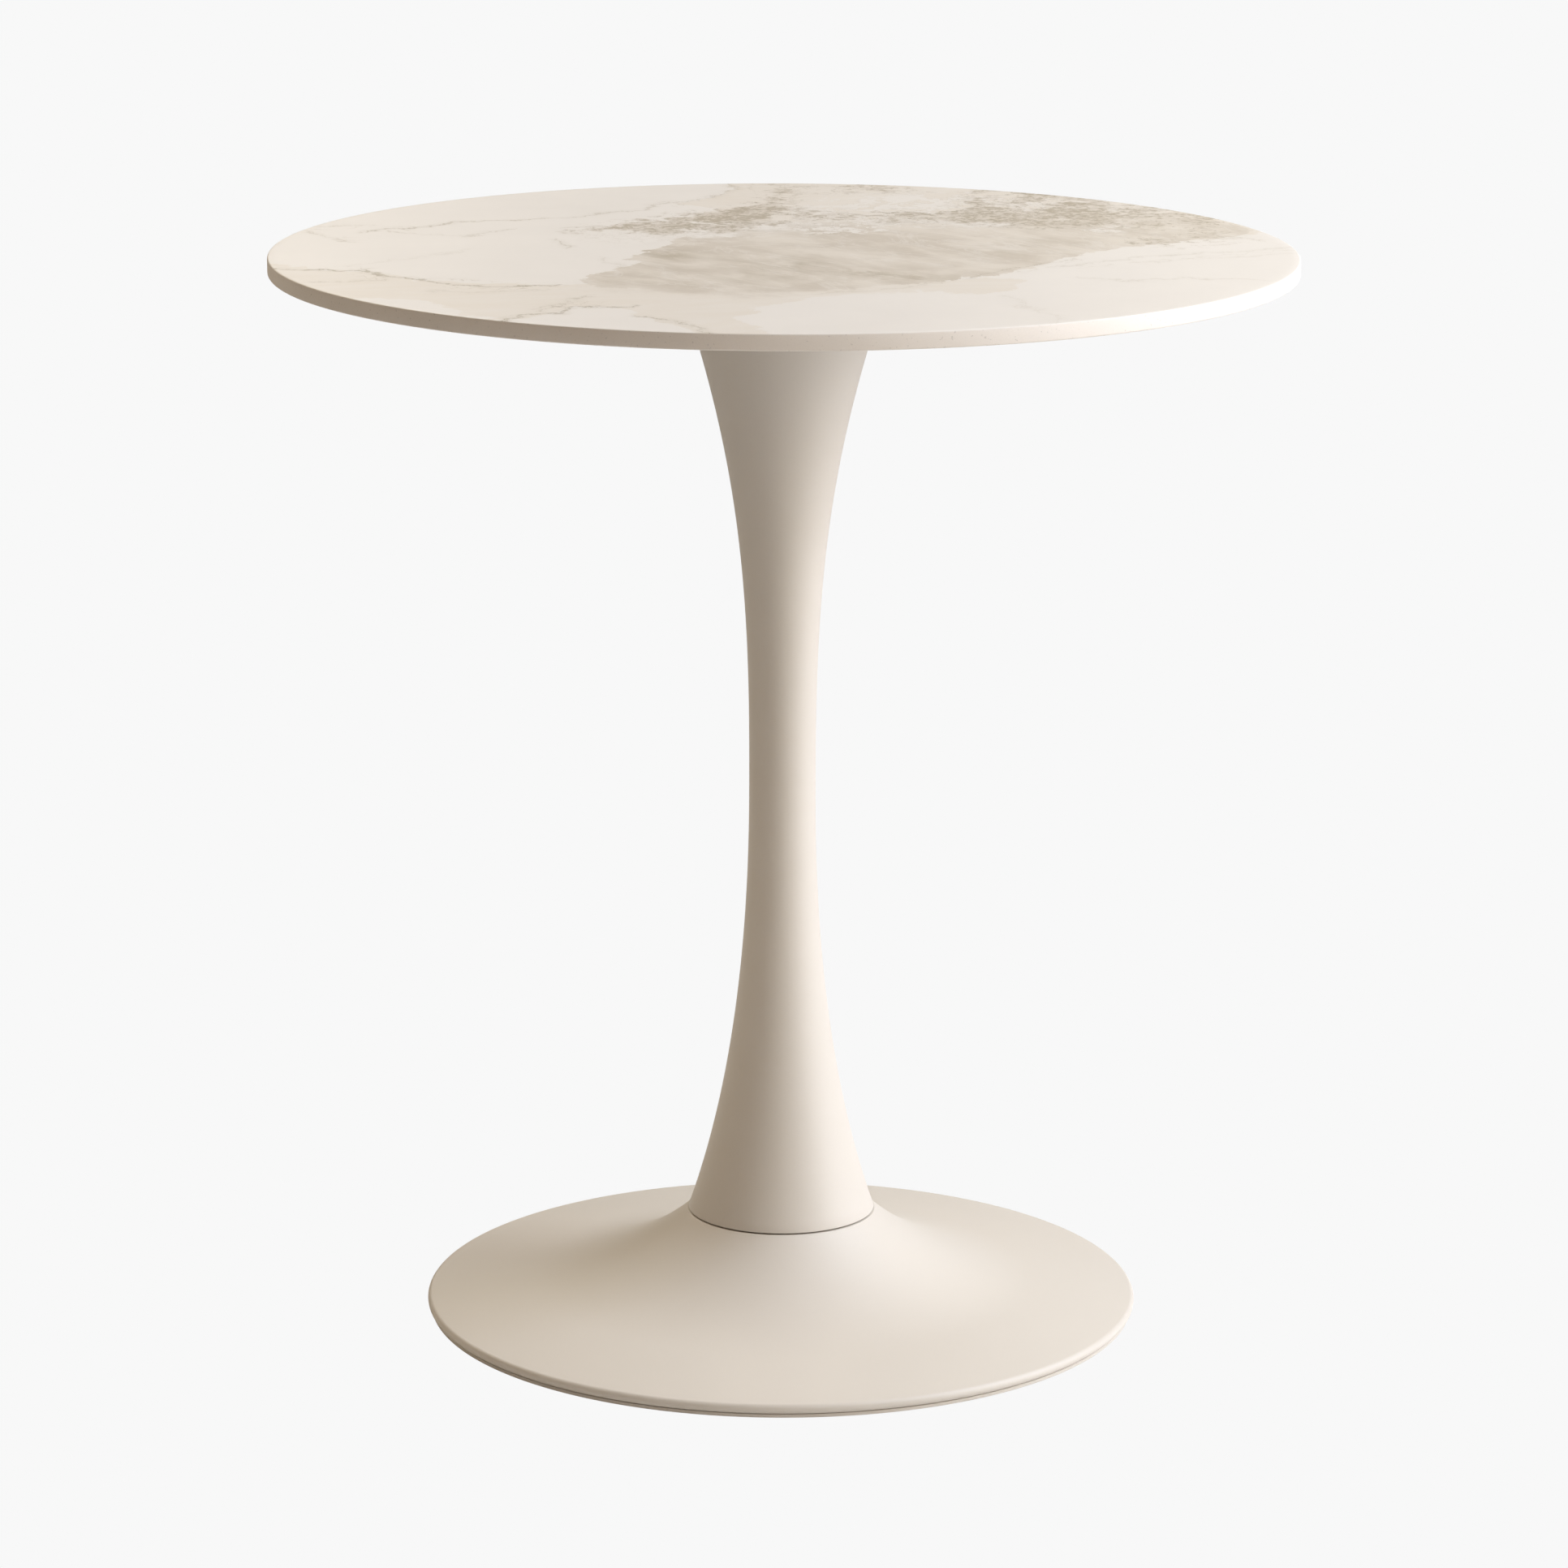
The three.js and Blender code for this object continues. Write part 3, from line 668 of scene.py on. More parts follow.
class Solid:
    """A mesh under construction and the operations that shape it."""

    SAME_PLACE = 1e-7
    NO_LENGTH = 1e-8
    SAME_HEIGHT = 1e-6
    CREASE = 38.0

    def __init__(self) -> None:
        """Start with nothing."""
        self.mesh = bmesh.new()

    def turn(self, outline: list[Point], segments: int, closed: bool = True) -> "Solid":
        """Turn an outline about the Z axis.

        Args:
            outline: Points of radius and height.
            segments: How many facets one turn has.
            closed: Whether the last point joins the first.

        Returns:
            This solid.
        """
        corners = [self.mesh.verts.new((r, 0, z)) for r, z in outline]
        pairs = list(zip(corners, corners[1:]))
        if closed:
            pairs.append((corners[-1], corners[0]))
        edges = [self.mesh.edges.new(pair) for pair in pairs]
        bmesh.ops.spin(self.mesh, geom=corners + edges, cent=(0, 0, 0), axis=(0, 0, 1),
                       angle=2 * math.pi, steps=segments, use_merge=True)
        return self.close()

    def close(self) -> "Solid":
        """Join corners that coincide and turn every face outwards.

        Returns:
            This solid.
        """
        bmesh.ops.remove_doubles(self.mesh, verts=self.mesh.verts, dist=self.SAME_PLACE)
        bmesh.ops.dissolve_degenerate(self.mesh, edges=self.mesh.edges, dist=self.NO_LENGTH)
        bmesh.ops.recalc_face_normals(self.mesh, faces=self.mesh.faces)
        return self

    def circle(self, radius: float, segments: int, place: Point,
               height: float) -> list[bmesh.types.BMEdge]:
        """Draw a level circle.

        Args:
            radius: Its radius.
            segments: How many sides it has.
            place: Its centre in the floor plane.
            height: Its height.

        Returns:
            The circle's edges.
        """
        made = bmesh.ops.create_circle(self.mesh, cap_ends=False, radius=radius, segments=segments,
                                       matrix=Matrix.Translation((*place, height)))
        return list({edge for corner in made["verts"] for edge in corner.link_edges})

    def plate(self, loops: list[list[bmesh.types.BMEdge]], rise: float) -> "Solid":
        """Fill an outer loop round its inner ones and give the sheet its thickness.

        Args:
            loops: The outer loop and the holes, all level.
            rise: The thickness, upwards.

        Returns:
            This solid.
        """
        edges = [edge for loop in loops for edge in loop]
        filled = bmesh.ops.triangle_fill(self.mesh, use_beauty=True, use_dissolve=False,
                                         edges=edges, normal=(0, 0, -1))
        faces = [item for item in filled["geom"] if isinstance(item, bmesh.types.BMFace)]
        grown = bmesh.ops.extrude_face_region(self.mesh, geom=faces, use_keep_orig=True)
        top = [item for item in grown["geom"] if isinstance(item, bmesh.types.BMVert)]
        bmesh.ops.translate(self.mesh, verts=top, vec=(0, 0, rise))
        return self.close()

    def sink(self, sides: int, radius: float, face_height: float, depth: float) -> "Solid":
        """Sink a straight socket into the flat end that lies at a height.

        Args:
            sides: How many sides the socket has.
            radius: Its corner radius.
            face_height: The height of the flat end, which faces down.
            depth: How deep the socket goes, upwards.

        Returns:
            This solid.
        """
        flat = [face for face in self.mesh.faces
                if all(abs(corner.co.z - face_height) < self.SAME_HEIGHT for corner in face.verts)]
        rim = [edge for edge in self.mesh.edges
               if len([face for face in edge.link_faces if face in flat]) == 1]
        bmesh.ops.delete(self.mesh, geom=flat, context="FACES_ONLY")
        middle = [corner for corner in self.mesh.verts if not corner.link_faces]
        bmesh.ops.delete(self.mesh, geom=middle, context="VERTS")
        mouth = self.circle(radius, sides, (0, 0), face_height)
        bmesh.ops.triangle_fill(self.mesh, use_beauty=True, use_dissolve=False,
                                edges=rim + mouth, normal=(0, 0, -1))
        self.deepen(mouth, depth)
        return self.close()

    def deepen(self, mouth: list[bmesh.types.BMEdge], depth: float) -> None:
        """Turn an open mouth into a straight blind hole.

        Args:
            mouth: The mouth's edges.
            depth: How deep the hole goes, upwards.
        """
        grown = bmesh.ops.extrude_edge_only(self.mesh, edges=mouth)
        end = [item for item in grown["geom"] if isinstance(item, bmesh.types.BMVert)]
        bmesh.ops.translate(self.mesh, verts=end, vec=(0, 0, depth))
        bmesh.ops.contextual_create(self.mesh, geom=end)

    def soften(self, width: float, segments: int = 2, sharper_than: float = 32.0) -> "Solid":
        """Round the sharp edges.

        Args:
            width: How far the rounding reaches from each edge.
            segments: How many facets it has.
            sharper_than: The least angle between two faces that counts, in degrees.

        Returns:
            This solid.
        """
        limit = math.radians(sharper_than)
        sharp = [edge for edge in self.mesh.edges
                 if len(edge.link_faces) == 2 and edge.calc_face_angle(0.0) > limit]
        bmesh.ops.bevel(self.mesh, geom=sharp, offset=width, offset_type="OFFSET", affect="EDGES",
                        segments=segments, profile=0.5, material=-1, clamp_overlap=True)
        return self

    def move(self, place: Point) -> "Solid":
        """Carry the solid from the table's axis to a place in the floor plane."""
        bmesh.ops.translate(self.mesh, verts=self.mesh.verts, vec=(*place, 0))
        return self

    def piece(self, name: str, body: str, node: str, slot: Slot) -> bpy.types.Object:
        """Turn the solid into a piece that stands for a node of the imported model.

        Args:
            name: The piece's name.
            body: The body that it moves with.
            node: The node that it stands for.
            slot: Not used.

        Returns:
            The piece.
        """
        limit = math.radians(self.CREASE)
        for face in self.mesh.faces:
            face.smooth = True
        for edge in self.mesh.edges:
            edge.smooth = edge.calc_face_angle(0.0) < limit
        data = bpy.data.meshes.new(name)
        self.mesh.to_mesh(data)
        self.mesh.free()
        made = bpy.data.objects.new(name, data)
        bpy.context.scene.collection.objects.link(made)
        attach(made, body)
        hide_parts(node)
        log.info("%s: %d faces, rides on %s", name, len(data.polygons), body)
        return made


def numbered(name: str, count: int) -> list[str]:
    """Return the names of a repeated node."""
    return [f"{name}_{i + 1}" for i in range(count)]


def middle_of(node: str) -> Point:
    """Return the place of a node's middle in the floor plane."""
    low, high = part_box(node)
    return (low.x + high.x) / 2, (low.y + high.y) / 2


# ------------------------------------------------------------------ stone pattern


class Stretch:
    """A straight line between two places, given in millimetres."""

    def __init__(self, start: Point, end: Point) -> None:
        """Work out the line's direction and length.

        Args:
            start: Its first end.
            end: Its second end.
        """
        self.x, self.y = start[0] * MM, start[1] * MM
        self.run, self.rise = end[0] * MM - self.x, end[1] * MM - self.y
        self.length = math.hypot(self.run, self.rise)

    def measure(self, place: Vector) -> tuple[float, float]:
        """Measure a place against the line.

        Args:
            place: The place, in metres.

        Returns:
            The distance, positive on the left, and how far past the line's ends the nearest
            point would be: under 0 before the start, over 0 after the end, otherwise 0.
        """
        across, up = place.x - self.x, place.y - self.y
        along = (across * self.run + up * self.rise) / self.length
        nearest = min(max(along, 0.0), self.length)
        share = nearest / self.length
        distance = math.hypot(across - share * self.run, up - share * self.rise)
        return math.copysign(distance, self.run * up - self.rise * across), along - nearest

    def crosses(self, place: Vector) -> bool:
        """Tell whether the line crosses the level through a place, to the right of the place.

        Args:
            place: The place, in metres.

        Returns:
            Whether it does.
        """
        if (self.y > place.y) == (self.y + self.rise > place.y):
            return False
        return place.x < self.x + (place.y - self.y) / self.rise * self.run


class Patch:
    """A stretch of stone with an outline, given by its corners in millimetres."""

    def __init__(self, *corners: Point) -> None:
        """Join the corners.

        Args:
            corners: The outline's corners, in order.
        """
        self.sides = [Stretch(*pair) for pair in zip(corners, corners[1:] + corners[:1])]

    def depth(self, place: Vector) -> float:
        """Measure how far inside the outline a place is.

        Args:
            place: The place, in metres.

        Returns:
            The distance to the outline in metres, under 0 outside it.
        """
        nearest = min(abs(side.measure(place)[0]) for side in self.sides)
        inside = sum(side.crosses(place) for side in self.sides) % 2
        return nearest if inside else -nearest


@dataclass(frozen=True)
class Blot:
    """A soft oval of some mark in the stone, with lengths in millimetres."""

    centre: Point
    width: float
    height: float
    strength: float
    angle: float = 0.0

    def amount(self, place: Vector) -> float:
        """Work out how much of the mark a place has.

        Args:
            place: The place, in metres.

        Returns:
            The amount, which is the mark's strength in its middle.
        """
        across, up = place.x / MM - self.centre[0], place.y / MM - self.centre[1]
        cos, sin = math.cos(math.radians(self.angle)), math.sin(math.radians(self.angle))
        wide, high = across * cos + up * sin, up * cos - across * sin
        return self.strength * math.exp(-(wide / self.width) ** 2 - (high / self.height) ** 2)


class Vein:
    """A thin line in the stone through a few places, in millimetres."""

    REACH = 16 * MM
    FADE = 10 * MM

    def __init__(self, strength: float, width: float, *places: Point) -> None:
        """Join the places.

        Args:
            strength: How dark the vein is, from 0 to 1.
            width: Half its width, in millimetres.
            places: The places that it runs through.
        """
        self.strength = strength
        self.width = width * MM
        self.runs = [Stretch(*pair) for pair in zip(places, places[1:])]

    def mark(self, place: Vector) -> tuple[float, float, float]:
        """Measure a place against the vein.

        Args:
            place: The place, in metres.

        Returns:
            How strong the vein is there, the distance from its line, positive on the left, and
            half its width.
        """
        offset, beyond = min((run.measure(place) for run in self.runs), key=lambda m: abs(m[0]))
        near = max(0.0, 1 - (offset / self.REACH) ** 4)
        at_end = max(0.0, 1 - abs(beyond) / self.FADE)
        return self.strength * near * at_end, offset, self.width


CLOUD = Patch(
    (-72, 69), (-76, 34), (-93, 13), (-104, -33), (-100, -51), (-119, -93), (-141, -140),
    (-113, -164), (-62, -182), (0, -186), (51, -160), (105, -131), (154, -85), (188, -36),
    (208, 5), (247, 31), (262, 51), (314, 72), (325, 125), (278, 175), (221, 150), (175, 150),
    (129, 130), (82, 150), (31, 140), (-5, 100), (-41, 76),
)
VEIL = Patch(
    (-360, -40), (-311, -88), (-278, -93), (-260, -112), (-239, -131), (-206, -149), (-154, -153),
    (-90, -120), (60, -110), (105, -129), (129, -114), (160, -118), (147, -172), (123, -184),
    (85, -169), (46, -189), (0, -224), (-23, -244), (-18, -265), (-31, -288), (-5, -360),
    (-51, -360), (-87, -283), (-93, -252), (-108, -238), (-136, -247), (-147, -275), (-175, -300),
    (-206, -278), (-213, -247), (-237, -216), (-273, -211), (-330, -190),
)
UPPER_VEIL = Patch(
    (-45, 360), (-38, 314), (-55, 262), (-72, 236), (-45, 215), (-55, 180), (-75, 150), (-20, 150),
    (100, 160), (250, 120), (330, 90), (330, 180), (270, 240), (180, 330), (90, 360),
)
SOFT_EDGES = (
    Blot((-40, -190), 110, 45, 1.0), Blot((60, 130), 130, 45, 1.0), Blot((250, 150), 90, 60, 1.0),
    Blot((-50, 95), 40, 35, 1.0),
)
BROKEN = (
    Blot((-52, 140), 48, 42, 1.0), Blot((-14, 222), 16, 40, 1.0, -20), Blot((-30, 180), 22, 40, 0.7),
    Blot((-95, 112), 22, 30, 0.8), Blot((-142, 105), 16, 24, 0.45), Blot((70, 180), 80, 36, 0.42),
    Blot((165, 165), 62, 34, 0.95), Blot((140, 222), 20, 40, 0.75), Blot((205, 180), 34, 60, 0.8),
    Blot((235, 262), 60, 50, 0.55), Blot((185, 300), 60, 34, 0.5), Blot((55, 322), 46, 30, 0.45),
    Blot((262, 52), 40, 26, 0.5), Blot((290, 160), 40, 80, 0.42), Blot((-5, 300), 18, 60, 0.35),
)
PALE = (
    Blot((70, 178), 90, 46, 1.0), Blot((186, 196), 30, 26, 1.0), Blot((221, 118), 16, 36, 1.0, -18),
    Blot((240, 250), 70, 60, 0.8), Blot((-60, 82), 40, 14, 0.9), Blot((-108, 70), 40, 34, 0.8),
    Blot((120, 240), 90, 70, 0.8), Blot((262, 45), 30, 20, 0.6), Blot((35, 108), 36, 20, 0.7),
)
BROWN = (
    Blot((48, -88), 62, 15, 0.6, -48), Blot((95, -112), 36, 22, 0.5, -35),
    Blot((-78, -8), 18, 30, 0.9, 12), Blot((-5, -70), 60, 40, 0.35, -40),
    Blot((18, 96), 6, 34, 0.9, 14), Blot((-60, -120), 70, 36, 0.3), Blot((150, 20), 20, 60, 0.35, -15),
    Blot((190, 45), 18, 40, 0.3, -8), Blot((-30, 150), 40, 50, 0.5), Blot((165, 165), 50, 30, 0.6),
)
VEINS = (
    Vein(1.0, 1.9, (-345, -84), (-311, -88), (-278, -92), (-260, -112), (-239, -132),
         (-206, -150), (-185, -153), (-150, -153)),
    Vein(0.7, 1.7, (-293, 88), (-284, 112), (-249, 116), (-231, 134), (-211, 147), (-180, 154)),
    Vein(0.5, 1.5, (-180, 154), (-144, 170), (-103, 206), (-84, 245)),
    Vein(0.45, 1.5, (-278, 103), (-252, 78), (-221, 72), (-190, 108)),
    Vein(0.5, 1.2, (-330, 96), (-321, 62), (-297, 44)),
    Vein(0.4, 1.5, (-326, 118), (-296, 124), (-262, 112)),
    Vein(1.0, 1.3, (-180, -306), (-162, -276), (-141, -271), (-137, -247), (-98, -236)),
    Vein(0.6, 1.2, (-157, -250), (-126, -196)),
    Vein(0.9, 1.0, (-88, -280), (-67, -304), (-47, -352)),
    Vein(0.55, 1.2, (-41, 352), (-37, 314), (-52, 272), (-74, 236)),
    Vein(0.5, 1.2, (-8, 350), (0, 309), (-5, 276)),
    Vein(0.3, 1.5, (350, 33), (283, 0), (206, -44), (144, -94)),
    Vein(0.22, 1.5, (346, 2), (270, -30), (190, -68)),
    Vein(0.28, 1.5, (195, -112), (231, -130), (262, -108), (314, -118)),
    Vein(0.24, 0.9, (144, -190), (150, -230), (165, -250), (176, -300)),
    Vein(0.6, 1.0, (-156, 58), (-148, 18)),
    Vein(0.6, 1.4, (-148, 112), (-128, 122), (-118, 108)),
    Vein(0.3, 0.9, (-123, -28), (-114, -60), (-104, -84)),
    Vein(0.45, 1.8, (-309, -141), (-262, -127), (-200, -130)),
    Vein(0.3, 1.8, (-230, -180), (-196, -184), (-160, -176)),
    Vein(0.18, 1.4, (-298, -72), (-257, -42), (-216, 6)),
    Vein(0.5, 1.2, (192, -26), (154, -68), (120, -116)),
    Vein(0.25, 1.5, (105, -131), (60, -168), (20, -182)),
    Vein(0.7, 1.1, (199, 212), (206, 144)),
    Vein(0.6, 1.1, (141, 216), (147, 150)),
    Vein(0.35, 1.5, (300, 75), (322, 72), (330, 60)),
)


class StonePattern:
    """Writes the marks of the stone into the corners of a mesh."""

    FIELDS = ("cloud", "softness", "veil", "breccia", "crystals", "umber",
              "vein_strength", "vein_offset", "vein_width")

    def write(self, solid: Solid) -> None:
        """Give each corner of the mesh its marks.

        Args:
            solid: The slab.
        """
        layers = {name: solid.mesh.verts.layers.float.new(name) for name in self.FIELDS}
        for corner in solid.mesh.verts:
            marks = self.marks_at(corner.co.xy)
            for name, layer in layers.items():
                corner[layer] = marks[name]

    def marks_at(self, place: Vector) -> dict[str, float]:
        """Work out every mark at a place on the face.

        Args:
            place: The place, in metres.

        Returns:
            The amount of each mark.
        """
        marks = [vein.mark(place) for vein in VEINS]
        strength, offset, width = max(marks, key=lambda mark: (mark[0], -abs(mark[1])))
        return {
            "cloud": CLOUD.depth(place),
            "softness": min(1.0, self.total(SOFT_EDGES, place)),
            "veil": max(VEIL.depth(place), UPPER_VEIL.depth(place)),
            "breccia": min(1.0, self.total(BROKEN, place)),
            "crystals": min(1.0, self.total(PALE, place)),
            "umber": min(1.0, self.total(BROWN, place)),
            "vein_strength": strength,
            "vein_offset": offset,
            "vein_width": width,
        }

    @staticmethod
    def total(blots: tuple[Blot, ...], place: Vector) -> float:
        """Add up the soft marks at a place."""
        return sum(blot.amount(place) for blot in blots)


# ------------------------------------------------------------------ sub-assemblies


@dataclass
class StoneTop:
    """The slab, the threaded inserts in its underside and the rubber cushions below it."""

    edge_round: float = 1.1 * MM
    round_steps: int = 4
    face_rings: int = 76
    segments: int = 216
    pocket_segments: int = 32
    pocket_gap: float = 0.3 * MM
    insert_bore: float = 3.0 * MM
    insert_closed_end: float = 0.6 * MM
    insert_lead_in: float = 0.4 * MM
    groove_count: int = 5
    groove_depth: float = 0.35 * MM
    groove_start: float = 0.5 * MM
    groove_step: float = 0.6 * MM
    cushion_bore: float = 3.6 * MM
    cushion_round: float = 0.25 * MM
    insert_count: int = 6

    def build(self, dresser: Dresser) -> None:
        """Build and dress the stone top.

        Args:
            dresser: The finishes.
        """
        self.build_slab(dresser)
        for name in numbered("threaded_insert", self.insert_count):
            self.build_insert(name, dresser)
        for name in numbered("top_cushion", self.insert_count):
            self.build_cushion(name, dresser)

    def build_slab(self, dresser: Dresser) -> None:
        """Build the slab: a fine face that carries the pattern, a round edge and six pockets.

        Args:
            dresser: The finishes.
        """
        low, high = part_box("tabletop")
        radius, rounding = high.x, self.edge_round
        inner = radius - rounding
        face = [(inner * i / self.face_rings, high.z) for i in range(self.face_rings)]
        upper = arc((inner, high.z - rounding), rounding, 90, 0, self.round_steps)
        lower = arc((inner, low.z + rounding), rounding, 0, -90, self.round_steps)
        slab = Solid().turn(face + upper + lower, self.segments, closed=False)
        rim = [edge for edge in slab.mesh.edges if edge.is_boundary]
        mouths, depths = [], []
        for name in numbered("threaded_insert", self.insert_count):
            place, (box_low, box_high) = middle_of(name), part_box(name)
            pocket = (box_high.x - box_low.x) / 2 + self.pocket_gap
            mouths.append(slab.circle(pocket, self.pocket_segments, place, low.z))
            depths.append(box_high.z + self.pocket_gap - low.z)
        bmesh.ops.triangle_fill(slab.mesh, use_beauty=True, use_dissolve=False,
                                edges=rim + [edge for mouth in mouths for edge in mouth],
                                normal=(0, 0, -1))
        for mouth, depth in zip(mouths, depths):
            slab.deepen(mouth, depth)
        slab.close()
        StonePattern().write(slab)
        for side in slab.mesh.faces:
            side.material_index = int(side.calc_center_median().z < high.z - rounding / 4)
        piece = slab.piece("stone_slab", TABLE, "tabletop", Slot.STONE)
        piece.data.materials.append(dresser.stone_face)
        piece.data.materials.append(dresser.materials[Slot.STONE])

    def build_insert(self, node: str, dresser: Dresser) -> None:
        """Build one threaded insert: a ringed sleeve with a closed end.

        Args:
            node: The insert's node.
            dresser: The finishes.
        """
        low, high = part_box(node)
        outer, bore = (high.x - low.x) / 2, self.insert_bore
        narrow, end = outer - self.insert_lead_in, high.z - self.insert_closed_end
        first = low.z + self.groove_start
        grooves = [(outer - self.groove_depth * (i % 2), first + self.groove_step * i)
                   for i in range(2 * self.groove_count)]
        outline = [(bore, low.z), (narrow, low.z), *grooves, (narrow, high.z), (0, high.z), (0, end),
                   (bore, end)]
        sleeve = Solid().turn(outline, self.pocket_segments).move(middle_of(node))
        dresser.add(sleeve, f"{node}_sleeve", node, Slot.BRASS)

    def build_cushion(self, node: str, dresser: Dresser) -> None:
        """Build one rubber cushion: a soft-edged ring.

        Args:
            node: The cushion's node.
            dresser: The finishes.
        """
        low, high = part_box(node)
        outer, bore = (high.x - low.x) / 2, self.cushion_bore
        outline = [(bore, low.z), (outer, low.z), (outer, high.z), (bore, high.z)]
        ring = Solid().turn(outline, self.pocket_segments).soften(self.cushion_round)
        dresser.add(ring.move(middle_of(node)), f"{node}_ring", node, Slot.RUBBER)


@dataclass
class Column:
    """The flared column: two curves that meet at a slim waist, with open ends."""

    wall: float = 2.0 * MM
    waist_radius: float = 23.1 * MM
    waist_height: float = 394 * MM
    top_radius: float = 72.4 * MM
    bottom_radius: float = 65.4 * MM
    top_along: tuple[float, ...] = (0, 0.394, 0.645, 1)
    top_opening: tuple[float, ...] = (0, 0, 0.189, 1)
    bottom_along: tuple[float, ...] = (0, 0.16, 0.61, 1)
    bottom_opening: tuple[float, ...] = (0, 0, -0.04, 1)
    steps: int = 56
    segments: int = 180
    edge_round: float = 0.5 * MM
    round_steps: int = 3
    rounded_over: float = 50

    def build(self, dresser: Dresser) -> None:
        """Build and dress the column's shell.

        Args:
            dresser: The finishes.
        """
        low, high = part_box("column_shell")
        lower = self.flare(self.bottom_radius, low.z, self.bottom_along, self.bottom_opening)
        upper = self.flare(self.top_radius, high.z, self.top_along, self.top_opening)
        outer = lower[::-1] + upper[1:]
        shell = Solid().turn(outer + self.inner_wall(outer)[::-1], self.segments)
        shell.soften(self.edge_round, self.round_steps, self.rounded_over)
        dresser.add(shell, "column_skin", "column_shell", Slot.POWDER_COAT)

    def flare(self, end_radius: float, end_height: float, along: tuple[float, ...],
              opening: tuple[float, ...]) -> list[Point]:
        """Return one flare, from the waist to its end.

        Args:
            end_radius: The radius at the end.
            end_height: The height of the end.
            along: The curve's control points, as shares of its length.
            opening: The curve's control points, as shares of how far it opens out.

        Returns:
            Points of radius and height.
        """
        points = []
        for i in range(self.steps + 1):
            t = i / self.steps
            weights = ((1 - t) ** 3, 3 * (1 - t) ** 2 * t, 3 * (1 - t) * t ** 2, t ** 3)
            opened = sum(w * share for w, share in zip(weights, opening))
            reached = sum(w * share for w, share in zip(weights, along))
            radius = self.waist_radius + (end_radius - self.waist_radius) * opened
            points.append((radius, self.waist_height + (end_height - self.waist_height) * reached))
        return points

    def inner_wall(self, outer: list[Point]) -> list[Point]:
        """Work out the inner wall, one wall thickness inside the outer one, square to it.

        Args:
            outer: The outer wall's points.

        Returns:
            The inner wall's points, in the same order.
        """
        inner = []
        for i, (radius, height) in enumerate(outer):
            before, after = outer[max(i - 1, 0)], outer[min(i + 1, len(outer) - 1)]
            slope = (after[0] - before[0]) / (after[1] - before[1])
            inner.append((radius - self.wall * math.hypot(1, slope), height))
        return inner


@dataclass
class TopPlate:
    """The steel plate under the stone and the screws that hold both."""

    segments: int = 160
    hole_segments: int = 28
    edge_round: float = 0.7 * MM
    round_steps: int = 3
    rounded_over: float = 60
    screw_hole: float = 3.6 * MM
    head_screw_hole: float = 8.1 * MM
    screw_count: int = 6
    head_screw_count: int = 4

    def build(self, dresser: Dresser) -> None:
        """Build and dress the plate and its screws.

        Args:
            dresser: The finishes.
        """
        low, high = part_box("top_plate")
        plate = Solid()
        loops = [plate.circle(high.x, self.segments, (0, 0), low.z)]
        loops += [plate.circle(self.screw_hole, self.hole_segments, middle_of(name), low.z)
                  for name in numbered("top_screw", self.screw_count)]
        loops += [plate.circle(self.head_screw_hole, self.hole_segments, middle_of(name), low.z)
                  for name in numbered("head_screw", self.head_screw_count)]
        plate.plate(loops, high.z - low.z)
        plate.soften(self.edge_round, self.round_steps, self.rounded_over)
        dresser.add(plate, "support_plate", "top_plate", Slot.BLACK_COAT)
        for name in numbered("top_screw", self.screw_count):
            ButtonScrew(name).build(dresser)
        for name in numbered("head_screw", self.head_screw_count):
            FlatScrew(name, hanging=True).build(dresser)


@dataclass
class Screw:
    """Sizes that every screw shares, and its thread."""

    node: str
    segments: int = 32
    socket_sides: int = 6
    pitch: float = 1.0 * MM
    thread_depth: float = 0.55 * MM

    def thread(self, radius: float, start: float, end: float) -> list[Point]:
        """Return the outline of a thread as ridges one pitch apart.

        Args:
            radius: The crest's radius.
            start: The height where it starts.
            end: The height where it ends, above or below.

        Returns:
            Points of radius and height from start to end.
        """
        turns = max(1, int(abs(end - start) / self.pitch) - 1)
        way = math.copysign(self.pitch, end - start)
        points = []
        for i in range(turns):
            z = start + way * i
            points += [(radius - self.thread_depth, z + way / 4), (radius, z + way * 3 / 4)]
        return points


@dataclass
class ButtonScrew(Screw):
    """A screw with a low round head underneath and a hexagon socket."""

    head_radius: float = 5.25 * MM
    head_height: float = 3.3 * MM
    shank_radius: float = 2.85 * MM
    flat_radius: float = 3.1 * MM
    rim_height: float = 0.5 * MM
    socket_radius: float = 2.3 * MM
    socket_depth: float = 2.0 * MM
    plain_length: float = 6.5 * MM
    dome_steps: int = 6

    def build(self, dresser: Dresser) -> None:
        """Build and dress the screw.

        Args:
            dresser: The finishes.
        """
        low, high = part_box(self.node)
        seat = low.z + self.head_height
        rise, run = self.head_height - self.rim_height, self.head_radius - self.flat_radius
        dome = [(self.flat_radius + run * math.sin(a), low.z + rise * (1 - math.cos(a)))
                for a in (math.radians(90 * i / self.dome_steps) for i in range(self.dome_steps + 1))]
        outline = [(0, low.z), *dome, (self.head_radius, seat), (self.shank_radius, seat),
                   *self.thread(self.shank_radius, seat + self.plain_length, high.z),
                   (self.shank_radius - self.thread_depth, high.z), (0, high.z)]
        screw = Solid().turn(outline, self.segments, closed=False)
        screw.sink(self.socket_sides, self.socket_radius, low.z, self.socket_depth)
        dresser.add(screw.move(middle_of(self.node)), f"{self.node}_button", self.node, Slot.ZINC_STEEL)


